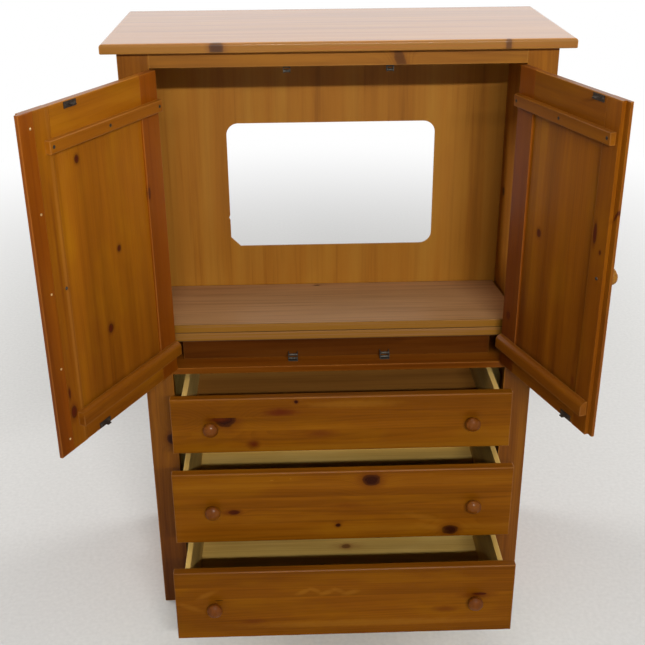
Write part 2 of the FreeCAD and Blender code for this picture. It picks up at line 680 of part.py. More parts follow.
def add_closing_strip(nodes):
    """Rebate the left door's meeting stile and lay the closing strip in it."""
    strip_start = STRIP_EDGE_U - STRIP_WIDTH
    strip_v = (DOOR_THICK - STRIP_THICK, DOOR_THICK)
    strip_z = (DOOR_Z - STRIP_BELOW_DOOR, DOOR_TOP)
    strip = block((strip_start, STRIP_EDGE_U), strip_v, strip_z)
    stile = nodes["left_door_meeting_stile"].cut(strip)
    strip = ease(strip, EDGE_EASE, lambda middle, along: is_near(middle.y, DOOR_THICK))
    pins = []
    spacing = (DOOR_TOP - DOOR_Z - 2 * STRIP_PIN_END) / (STRIP_PINS - 1)
    for number in range(STRIP_PINS):
        z = DOOR_Z + STRIP_PIN_END + number * spacing
        pin, hole = strip_pin(strip_start + STRIP_PIN_INSET, z)
        pins.append(pin)
        strip = strip.cut(hole)
        stile = stile.cut(hole)
    nodes["left_door_meeting_stile"] = stile
    nodes["left_door_closing_strip"] = strip
    nodes["left_door_strip_pins"] = pins


def add_lip(nodes):
    """Rebate the right door's inner side so that its lip closes over the strip."""
    rebate = block(
        (LIP_EDGE_U - LIP_WIDTH, LIP_EDGE_U), (LIP_THICK, DOOR_THICK), (DOOR_Z, DOOR_TOP)
    )
    nodes["right_door_meeting_stile"] = nodes["right_door_meeting_stile"].cut(rebate)


def add_cleats(nodes, name, top_end, bottom_end):
    """Lay the cleats across the door's inner face, each to its own end, and screw the top one."""
    top_v = DOOR_THICK + TOP_CLEAT_THICK
    top_z = DOOR_TOP - TOP_CLEAT_DROP
    start = CLEAT_HINGE_INSET
    top = block(
        (start, top_end), (DOOR_THICK, top_v), (top_z - TOP_CLEAT_HEIGHT, top_z)
    )
    top = ease(top, EDGE_EASE, lambda middle, along: is_near(middle.y, top_v))
    bottom_v = DOOR_THICK + BOTTOM_CLEAT_THICK
    bottom_z = DOOR_Z + BOTTOM_CLEAT_RISE
    bottom_top = bottom_z + BOTTOM_CLEAT_HEIGHT
    bottom = block((start, bottom_end), (DOOR_THICK, bottom_v), (bottom_z, bottom_top))
    bottom = ease(
        bottom,
        BOTTOM_CLEAT_ROUND,
        lambda middle, along: is_near(middle.y, bottom_v) and is_near(middle.z, bottom_top),
    )
    screws = []
    screw_z = top_z - TOP_CLEAT_HEIGHT / 2
    for u in (start + CLEAT_SCREW_END, (start + top_end) / 2, top_end - CLEAT_SCREW_END):
        screw, hole = cleat_screw(u, screw_z)
        screws.append(screw)
        top = top.cut(hole)
        for part in ("hinge_stile", "meeting_stile", "top_rail", "panel"):
            node = f"{name}_{part}"
            if hole.common(nodes[node]).Volume > 0:
                nodes[node] = nodes[node].cut(hole)
    nodes[f"{name}_top_cleat"] = top
    nodes[f"{name}_bottom_cleat"] = bottom
    return screws


def add_knob(nodes, name, u):
    """Fix the knob to the meeting stile and return its screw."""
    stile = f"{name}_meeting_stile"
    nodes[stile] = nodes[stile].cut(knob_screw_hole(u, KNOB_Z, DOOR_THICK))
    nodes[f"{name}_knob"] = knob(u, KNOB_Z)
    return knob_screw(u, KNOB_Z, DOOR_THICK)


def door(side):
    """The nodes of one door, swung open about its hinge line."""
    is_left = side < 0
    name = "left_door" if is_left else "right_door"
    edge_u = LEFT_EDGE_U if is_left else LIP_EDGE_U
    meeting = LEFT_MEETING_STILE_WIDTH if is_left else RIGHT_MEETING_STILE_WIDTH
    top_inset = TOP_CLEAT_LEFT_INSET if is_left else TOP_CLEAT_RIGHT_INSET
    bottom_inset = BOTTOM_CLEAT_LEFT_INSET if is_left else BOTTOM_CLEAT_RIGHT_INSET
    knob_inset = LEFT_KNOB_INSET if is_left else RIGHT_KNOB_INSET
    nodes = framed_leaf(name, edge_u, meeting)
    if is_left:
        add_closing_strip(nodes)
    else:
        add_lip(nodes)
    screws = add_cleats(nodes, name, edge_u - top_inset, edge_u - bottom_inset)
    screws.append(add_knob(nodes, name, edge_u - knob_inset))
    nodes[f"{name}_screws"] = screws
    nodes[f"{name}_strikes"] = strike_plates()
    nodes[f"{name}_hinge_leaves"] = door_hinge_leaves()
    angle = -LEFT_DOOR_OPEN if is_left else RIGHT_DOOR_OPEN
    for node, solids in nodes.items():
        if isinstance(solids, list):
            nodes[node] = [swung_open(solid, side, angle) for solid in solids]
        else:
            nodes[node] = swung_open(solids, side, angle)
    return nodes


def swung_open(shape, side, angle):
    """Take a shape from the door's own frame to its open place."""
    placed = from_hinge_line(shape, side)
    placed.rotate(FreeCAD.Vector(side * PIN_X, 0, 0), UP, angle)
    return placed


# --- the whole armoire ---------------------------------------------------------------
def carcass():
    batten_y = (BOARD, BOARD + TOP_BATTEN_DEPTH)
    bottom_z = (BOTTOM_BOARD_Z, BOTTOM_BOARD_Z + BOTTOM_BOARD_THICK)
    return {
        "top_board": top_board(),
        "left_side_panel": side_panel(-1),
        "right_side_panel": side_panel(1),
        "left_front_stile": front_stile(-1),
        "right_front_stile": front_stile(1),
        "top_front_rail": front_rail(TOP_RAIL_Z, BODY_HEIGHT),
        "top_batten": block((-INNER_X, INNER_X), batten_y, (TOP_RAIL_Z, BODY_HEIGHT)),
        "base_front_rail": front_rail(0, BASE_RAIL_HEIGHT),
        "drawer_rails": drawer_rails(),
        "bottom_board": block((-INNER_X, INNER_X), (BOARD, BACK_Y), bottom_z),
        "drawer_runners": drawer_runners(),
        "divider_board": notched_board(DIVIDER_Z, DIVIDER_TOP),
        "platform_bearer": platform_bearer(),
        "platform_lower_board": platform_board(0),
        "platform_upper_board": platform_board(1),
        "back_panel": back_panel(),
        "door_catches": door_catches(),
        "frame_hinge_leaves": frame_hinge_pieces(-1) + frame_hinge_pieces(1),
    }


os.makedirs("parts", exist_ok=True)
pieces = carcass()
for number in range(len(DRAWER_NAMES)):
    pieces.update(drawer(number))
for door_side in (-1, 1):
    pieces.update(door(door_side))
for node_name, node_solids in pieces.items():
    save(node_name, node_solids)
print(f"{len(pieces)} nodes")
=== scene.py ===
"""Looks for a pine tv armoire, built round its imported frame.

Lengths are in metres in the cabinet's own frame: +X to the right, +Y to the back, +Z up, with
the origin on the floor at the middle of the carcass's front edge.
"""

import json
import logging
import math
import random
from collections.abc import Iterable, Mapping, Sequence
from dataclasses import dataclass, replace
from enum import Enum
from typing import Any

import bmesh
import bpy
from mathutils import Euler, Matrix, Vector


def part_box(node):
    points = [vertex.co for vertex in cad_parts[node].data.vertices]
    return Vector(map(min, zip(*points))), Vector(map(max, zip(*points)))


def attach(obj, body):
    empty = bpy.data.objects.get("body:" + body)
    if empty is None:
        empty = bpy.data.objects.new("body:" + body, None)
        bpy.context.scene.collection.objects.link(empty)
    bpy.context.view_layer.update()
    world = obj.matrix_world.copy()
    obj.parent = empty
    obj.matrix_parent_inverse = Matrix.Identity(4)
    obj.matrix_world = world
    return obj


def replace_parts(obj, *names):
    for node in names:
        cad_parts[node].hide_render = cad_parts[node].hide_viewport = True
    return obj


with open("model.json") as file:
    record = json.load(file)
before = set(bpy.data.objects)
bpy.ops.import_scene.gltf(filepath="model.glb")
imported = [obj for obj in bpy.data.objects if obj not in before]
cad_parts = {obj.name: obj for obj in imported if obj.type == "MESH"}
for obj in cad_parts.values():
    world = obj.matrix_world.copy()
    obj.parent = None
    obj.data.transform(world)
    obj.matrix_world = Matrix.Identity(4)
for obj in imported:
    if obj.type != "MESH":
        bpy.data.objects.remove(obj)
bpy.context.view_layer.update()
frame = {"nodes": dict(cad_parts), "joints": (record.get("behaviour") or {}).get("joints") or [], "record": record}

log = logging.getLogger("armoire")

Rgba = tuple[float, float, float, float]
Triple = tuple[float, float, float]

MM = 1000.0
WELD = 1e-6


def srgb(code: str) -> Rgba:
    """Turn a colour written as six hex digits into linear light.

    Args:
        code: Red, green and blue as two hex digits each.

    Returns:
        Linear red, green and blue, and an alpha of one.
    """
    levels = [int(code[start : start + 2], 16) / 255 for start in (0, 2, 4)]
    linear = [c / 12.92 if c <= 0.04045 else ((c + 0.055) / 1.055) ** 2.4 for c in levels]
    return (linear[0], linear[1], linear[2], 1.0)


# --- material graphs -----------------------------------------------------------------
class Signal:
    """A socket on its way through a material's graph."""

    def __init__(self, graph: "Graph", socket: bpy.types.NodeSocket) -> None:
        """Keep the graph and the socket."""
        self.graph = graph
        self.socket = socket


class Number(Signal):
    """A value whose arithmetic adds Math nodes."""

    def _math(self, operation: str, *terms: "Number | float") -> "Number":
        """Add one Math node on these terms."""
        made = self.graph.node("ShaderNodeMath", {"operation": operation}, dict(enumerate(terms)))
        return Number(self.graph, made.outputs[0])

    def __add__(self, other: "Number | float") -> "Number":
        """Sum."""
        return self._math("ADD", self, other)

    __radd__ = __add__

    def __sub__(self, other: "Number | float") -> "Number":
        """Difference."""
        return self._math("SUBTRACT", self, other)

    def __rsub__(self, other: float) -> "Number":
        """Difference from a plain number."""
        return self._math("SUBTRACT", other, self)

    def __mul__(self, other: "Number | float") -> "Number":
        """Product."""
        return self._math("MULTIPLY", self, other)

    __rmul__ = __mul__

    def __truediv__(self, other: "Number | float") -> "Number":
        """Quotient."""
        return self._math("DIVIDE", self, other)

    def __rtruediv__(self, other: float) -> "Number":
        """Quotient of a plain number by this value."""
        return self._math("DIVIDE", other, self)

    def __pow__(self, power: "Number | float") -> "Number":
        """This value to a power."""
        return self._math("POWER", self, power)

    def __rpow__(self, base: float) -> "Number":
        """A plain number to this power."""
        return self._math("POWER", base, self)

    def over(self, limit: float) -> "Number":
        """One where the value is above the limit, else nought."""
        return self._math("GREATER_THAN", self, limit)

    def most(self, other: "Number | float") -> "Number":
        """The larger of two values."""
        return self._math("MAXIMUM", self, other)

    def least(self, other: "Number | float") -> "Number":
        """The smaller of two values."""
        return self._math("MINIMUM", self, other)

    def floor(self) -> "Number":
        """The whole number below."""
        return self._math("FLOOR", self)

    def fraction(self) -> "Number":
        """What is left above the whole number below."""
        return self._math("FRACT", self)

    def root(self) -> "Number":
        """Square root."""
        return self._math("SQRT", self)

    def eased(self, low: float, high: float) -> "Number":
        """Rise smoothly from nought at low to one at high, or fall where high is the lower.

        Args:
            low: Where the result is nought.
            high: Where the result is one.

        Returns:
            The eased value, within nought and one.
        """
        settings = {"interpolation_type": "SMOOTHSTEP"}
        if low < high:
            made = self.graph.node("ShaderNodeMapRange", settings, {0: self, 1: low, 2: high})
        else:
            ends = {0: self, 1: high, 2: low, 3: 1.0, 4: 0.0}
            made = self.graph.node("ShaderNodeMapRange", settings, ends)
        return Number(self.graph, made.outputs[0])


class Point(Signal):
    """A place whose arithmetic adds Vector Math nodes."""

    def _math(self, operation: str, other: "Point | Triple") -> "Point":
        """Add one Vector Math node on this place and another."""
        made = self.graph.node("ShaderNodeVectorMath", {"operation": operation}, {0: self, 1: other})
        return Point(self.graph, made.outputs[0])

    def __mul__(self, other: "Point | Triple") -> "Point":
        """Product along each axis."""
        return self._math("MULTIPLY", other)

    __rmul__ = __mul__

    def parts(self) -> tuple[Number, Number, Number]:
        """Split the place.

        Returns:
            The three coordinates.
        """
        made = self.graph.node("ShaderNodeSeparateXYZ", {}, {0: self})
        x, y, z = (Number(self.graph, socket) for socket in made.outputs)
        return x, y, z


class Tint(Signal):
    """A colour that is mixed by Mix nodes."""

    def _mix(self, blend: str, other: "Tint | Rgba", amount: "Number | float") -> "Tint":
        """Add one Mix node between this colour and another.

        Args:
            blend: The node's blend type.
            other: The other colour.
            amount: How much of the blend shows.

        Returns:
            The blended colour.
        """
        settings = {"data_type": "RGBA", "blend_type": blend}
        made = self.graph.node("ShaderNodeMix", settings, {0: amount, 6: self, 7: other})
        return Tint(self.graph, made.outputs[2])

    def towards(self, other: "Tint | Rgba", amount: "Number | float") -> "Tint":
        """Part of the way to another colour."""
        return self._mix("MIX", other, amount)

    def times(self, other: "Tint | Rgba", amount: "Number | float" = 1.0) -> "Tint":
        """Darkened by another colour."""
        return self._mix("MULTIPLY", other, amount)


class Graph:
    """A material's or a world's node tree, in which one method makes any node."""

    def __init__(self, owner: bpy.types.Material | bpy.types.World) -> None:
        """Empty the owner's tree.

        Args:
            owner: The material or world.
        """
        owner.use_nodes = True
        self.owner = owner
        self.tree = owner.node_tree
        self.tree.nodes.clear()

    def node(
        self,
        kind: str,
        settings: Mapping[str, Any] | None = None,
        inputs: Mapping[int | str, Any] | None = None,
    ) -> bpy.types.Node:
        """Make one node.

        Args:
            kind: The node's type.
            settings: The node's own properties, set before its inputs; a ramp's stops go under stops.
            inputs: A signal or a plain value for each socket, by index or by name.

        Returns:
            The node.
        """
        made = self.tree.nodes.new(kind)
        for name, value in (settings or {}).items():
            if name == "stops":
                self._set_stops(made.color_ramp, value)
            else:
                setattr(made, name, value)
        for key, value in (inputs or {}).items():
            if isinstance(value, Signal):
                self.tree.links.new(value.socket, made.inputs[key])
            else:
                made.inputs[key].default_value = value
        return made

    @staticmethod
    def _set_stops(ramp: bpy.types.ColorRamp, stops: Sequence[tuple[float, Rgba]]) -> None:
        """Give a ramp its stops.

        Args:
            ramp: The ramp.
            stops: Position and colour of each stop.
        """
        while len(ramp.elements) < len(stops):
            ramp.elements.new(1.0)
        for element, (position, colour) in zip(ramp.elements, stops):
            element.position = position
            element.color = colour

    def place(self) -> Point:
        """The place on the object, in the cabinet's frame, wherever its body has moved."""
        made = self.node("ShaderNodeTexCoord")
        return Point(self, made.outputs["Object"])

    def upward(self) -> Number:
        """How far the surface faces up, from nought to one."""
        made = self.node("ShaderNodeTexCoord")
        return Point(self, made.outputs["Normal"]).parts()[2].eased(0.3, 0.95)

    def point(self, x: Number | float, y: Number | float, z: Number | float) -> Point:
        """A place from its three coordinates."""
        made = self.node("ShaderNodeCombineXYZ", {}, {0: x, 1: y, 2: z})
        return Point(self, made.outputs[0])

    def noise(self, place: Point, detail: float = 2.0, roughness: float = 0.5) -> Number:
        """Smooth noise about one half, one cell to each unit of place.

        Args:
            place: Where it is read.
            detail: How many finer layers it has.
            roughness: How strong the finer layers are.

        Returns:
            The noise.
        """
        inputs = {"Vector": place, "Scale": 1.0, "Detail": detail, "Roughness": roughness}
        made = self.node("ShaderNodeTexNoise", {}, inputs)
        return Number(self, made.outputs[0])

    def luck(self, value: Number | float) -> tuple[Number, Number, Number]:
        """Three even random values, the same for the same input value."""
        made = self.node("ShaderNodeTexWhiteNoise", {"noise_dimensions": "1D"}, {"W": value})
        return Point(self, made.outputs["Color"]).parts()

    def tint(self, amount: Number, stops: Sequence[tuple[float, Rgba]]) -> Tint:
        """A colour read from a ramp's stops."""
        made = self.node("ShaderNodeValToRGB", {"stops": stops}, {0: amount})
        return Tint(self, made.outputs[0])

    def bump(self, height: Number, distance: float, strength: float = 1.0) -> Point:
        """A normal bent by a height, where a height of one is as deep as the distance."""
        inputs = {"Strength": strength, "Distance": distance, "Height": height}
        return Point(self, self.node("ShaderNodeBump", {}, inputs).outputs[0])

    def seen(self) -> Number:
        """Tell apart the rays that see a thing from those that carry its light.

        Returns:
            One where the thing is looked at, mirrored or seen through, else nought.
        """
        rays = self.node("ShaderNodeLightPath")
        kinds = ("Is Camera Ray", "Is Glossy Ray", "Is Transmission Ray")
        looked, mirrored, passed = (Number(self, rays.outputs[kind]) for kind in kinds)
        return looked.most(mirrored).most(passed)

    def shader(self, kind: str, inputs: Mapping[int | str, Any]) -> Signal:
        """A shader from its type and its sockets' values."""
        return Signal(self, self.node(kind, {}, inputs).outputs[0])

    def end(self, shader: Signal) -> None:
        """Let one shader cover the whole material or world.

        Args:
            shader: The shader.
        """
        of_world = isinstance(self.owner, bpy.types.World)
        kind = "ShaderNodeOutputWorld" if of_world else "ShaderNodeOutputMaterial"
        self.node(kind, {}, {"Surface": shader})

    def finish(self, inputs: Mapping[str, Any]) -> bpy.types.Material:
        """End a material in one plain shader.

        Args:
            inputs: A signal or a plain value for each of the shader's sockets.

        Returns:
            The material.
        """
        self.end(self.shader("ShaderNodeBsdfPrincipled", inputs))
        return self.owner


# --- where things lie ----------------------------------------------------------------
def spanned(corners: Sequence[Vector]) -> tuple[Vector, Vector]:
    """Find the box round some points.

    Args:
        corners: The points.

    Returns:
        Its lowest and highest corner.
    """
    low = Vector(min(corner[axis] for corner in corners) for axis in range(3))
    high = Vector(max(corner[axis] for corner in corners) for axis in range(3))
    return low, high


class Grain(Enum):
    """How a board lies: the axes of its grain, its width and its thickness."""

    RAIL = "xzy"
    SHELF = "xyz"
    STILE = "zxy"
    SIDE = "zyx"
    RUNNER = "yzx"
    PEG = "yxz"

    def along(self, triple: Sequence[Any]) -> tuple[Any, Any, Any]:
        """Put x, y and z values in this board's order."""
        first, second, third = ("xyz".index(axis) for axis in self.value)
        return triple[first], triple[second], triple[third]


@dataclass(frozen=True)
class Placement:
    """Where a sub-assembly's own axes lie in the cabinet's frame at rest.

    Args:
        origin: Its origin.
        turn: Its turn about each axis, in radians.
        mirrored: Whether its X axis runs the other way.
    """

    origin: Triple = (0.0, 0.0, 0.0)
    turn: Triple = (0.0, 0.0, 0.0)
    mirrored: bool = False

    def matrix(self) -> Matrix:
        """From the sub-assembly's own axes to the cabinet's frame."""
        flip = Matrix.Diagonal((-1 if self.mirrored else 1, 1, 1, 1))
        return Matrix.Translation(self.origin) @ Euler(self.turn).to_matrix().to_4x4() @ flip

    def place(self, graph: Graph) -> Point:
        """Read the place on the object in the sub-assembly's own axes.

        Args:
            graph: The graph that reads it.

        Returns:
            The place.
        """
        inputs = {
            "Vector": graph.place(),
            "Location": self.origin,
            "Rotation": self.turn,
            "Scale": (-1.0 if self.mirrored else 1.0, 1.0, 1.0),
        }
        made = graph.node("ShaderNodeMapping", {"vector_type": "TEXTURE"}, inputs)
        return Point(graph, made.outputs[0])

    def extent(self, node: str) -> tuple[Vector, Vector]:
        """A node's lowest and highest corner in the sub-assembly's own axes.

        Args:
            node: The CAD node's name.

        Returns:
            The two corners.
        """
        back = self.matrix().inverted()
        return spanned([back @ vertex.co for vertex in frame["nodes"][node].data.vertices])

    def solids(self, node: str) -> list[tuple[Vector, Vector]]:
        """The box of each separate solid of a node in the sub-assembly's own axes.

        Args:
            node: The CAD node's name.

        Returns:
            The two corners of each solid, lowest solid first.
        """
        back = self.matrix().inverted()
        shape = bmesh.new()
        shape.from_mesh(frame["nodes"][node].data)
        bmesh.ops.remove_doubles(shape, verts=shape.verts, dist=WELD)
        waiting = set(shape.verts)
        boxes = []
        while waiting:
            reached = [waiting.pop()]
            corners = []
            while reached:
                vertex = reached.pop()
                corners.append(back @ vertex.co)
                for edge in vertex.link_edges:
                    other = edge.other_vert(vertex)
                    if other in waiting:
                        waiting.remove(other)
                        reached.append(other)
            boxes.append(spanned(corners))
        shape.free()
        return sorted(boxes, key=lambda box: (round(box[0].z, 4), round(box[0].x, 4)))

    def aim(self, place: Sequence[float], towards: Sequence[float], spin: float = 0.0) -> Matrix:
        """Where a fastener lies whose head points along a direction.

        Args:
            place: Its seat in the sub-assembly's own axes.
            towards: The way that its head points, in the same axes.
            spin: Its turn about itself.

        Returns:
            From the fastener's own axes to the cabinet's frame.
        """
        own = self.matrix()
        heading = (own.to_3x3() @ Vector(towards)).to_track_quat("Z", "Y")
        turn = heading.to_matrix().to_4x4() @ Matrix.Rotation(spin, 4, "Z")
        return Matrix.Translation(own @ Vector(place)) @ turn


HERE = Placement()


# --- timber --------------------------------------------------------------------------
class MarkKind(Enum):
    """What a mark on a board is."""

    KNOT = "knot"
    SMEAR = "smear"
    CRACK = "crack"
    PALE = "pale"


@dataclass(frozen=True)
class Mark:
    """A knot, stain, crack or pale patch in one board.

    Args:
        along: Its middle along the grain.
        across: Its middle across the grain.
        length: Half its size along the grain.
        width: Half its size across the grain.
        kind: What it is.
        depth: How strongly it shows.
        lean: How far it runs across the grain for each unit along it.
        above: The glue line that cuts it off below, across the grain.
        below: The glue line that cuts it off above, across the grain.
    """

    along: float
    across: float
    length: float
    width: float
    kind: MarkKind = MarkKind.KNOT
    depth: float = 1.0
    lean: float = 0.0
    above: float | None = None
    below: float | None = None

    def moved(self, along: float, across: float) -> "Mark":
        """The same mark measured from another corner.

        Args:
            along: How far it moves along the grain.
            across: How far it moves across the grain.

        Returns:
            The moved mark.
        """
        return replace(
            self,
            along=self.along + along,
            across=self.across + across,
            above=None if self.above is None else self.above + across,
            below=None if self.below is None else self.below + across,
        )


@dataclass(frozen=True)
class Weave:
    """A noise stretched along the grain.

    Args:
        scale: Cells to the metre along, across and into the board.
        seed: What sets it apart from the other noises.
        detail: How many finer layers it has.
        roughness: How strong the finer layers are.
    """

    scale: Triple
    seed: float = 0.0
    detail: float = 2.0
    roughness: float = 0.5


SLOW_WAVE = Weave((1.6, 9.0, 9.0), detail=1.0)
QUICK_WAVE = Weave((7.0, 42.0, 42.0), detail=1.0)
FIBRES = Weave((16.0, 900.0, 900.0), 3.0, 2.0, 0.6)
STREAKS = Weave((2.2, 95.0, 95.0), 5.0, 3.0, 0.6)
BROAD = Weave((1.1, 22.0, 22.0), 7.0)
PATCHES = Weave((5.0, 13.0, 13.0), 9.0, 3.0, 0.55)
GNARL = Weave((70.0, 95.0, 95.0), 11.0)
EDGE_LINES = Weave((2.5, 60.0, 330.0), 13.0)


@dataclass(frozen=True)
class Timber:
    """A sawn timber with its stain and varnish.

    Args:
        early: Colour of the wood between the rings.
        late: Colour of the ring lines.
        warm: Colour that the stain takes in patches.
        shade: Colour of its dark streaks.
        worn_and_lit: Colour of rubbed arrises and pale figure, also taken by painted light.
        knot: Colour of a knot's heart.
        knot_rim: Colour of the line round a knot.
        halo: Colour round a knot.
        crack: Colour of a crack.
        dusk: What its darker tones, painted shade included, are multiplied by.
        edge: Colour of its edges, where they differ from its faces.
        ring_gap: Mean distance between two rings.
        ring_share: How much of the late colour a ring line takes.
        wander: How far the rings wander.
        taper: How much thicker the rings' cylinder grows along the grain.
        heart: Depth of the log's heart behind the face.
        mottle: Strength of the broad light and dark areas.
        patches: Strength of the warm patches.
        streaks: Strength of the dark streaks.
        stave_spread: How much one stave's lightness differs from the next.
        wear: How much the arrises are rubbed.
        roughness: Roughness of the surface under the varnish.
        gloss: Specular level of that surface.
        varnish: Weight of the varnish.
        edge_varnish: How much of that its edges keep.
        crest: Weight of the varnish on what faces up, where it differs.
        seam: How dark the painted shade along the lower arris of its edges is, where two boards meet.
        varnish_roughness: Roughness of the varnish.
        relief: Height of the grain.
    """

    early: str
    late: str
    warm: str
    shade: str
    worn_and_lit: str
    knot: str = "200703"
    knot_rim: str = "1C0804"
    halo: str = "501E04"
    crack: str = "160604"
    dusk: str = "7A583C"
    edge: str | None = None
    ring_gap: float = 0.0052
    ring_share: float = 0.34
    wander: float = 0.016
    taper: float = 0.018
    heart: float = 0.050
    mottle: float = 1.1
    patches: float = 0.6
    streaks: float = 0.55
    stave_spread: float = 0.25
    wear: float = 0.5
    roughness: float = 0.5
    gloss: float = 0.09
    varnish: float = 0.07
    edge_varnish: float = 1.0
    crest: float | None = None
    seam: float = 0.0
    varnish_roughness: float = 0.22
    relief: float = 0.00012


@dataclass(frozen=True)
class Board:
    """One CAD node of sawn timber.

    Args:
        node: Its name.
        grain: How it lies.
        timber: What it is made of.
        staves: The glue lines across its width.
        marks: Its knots and stains.
        stray_knots: How many more knots it has at random places.
        tone: How much lighter it is, or darker below nought: random lightness on some boards and painted shade on
            others.
        fade: Painted shade that makes its low or left end darker than its other end, or painted light that makes
            it lighter below nought.
    """

    node: str
    grain: Grain
    timber: Timber
    staves: tuple[float, ...] = ()
    marks: tuple[Mark, ...] = ()
    stray_knots: int = 0
    tone: float = 0.0
    fade: float = 0.0


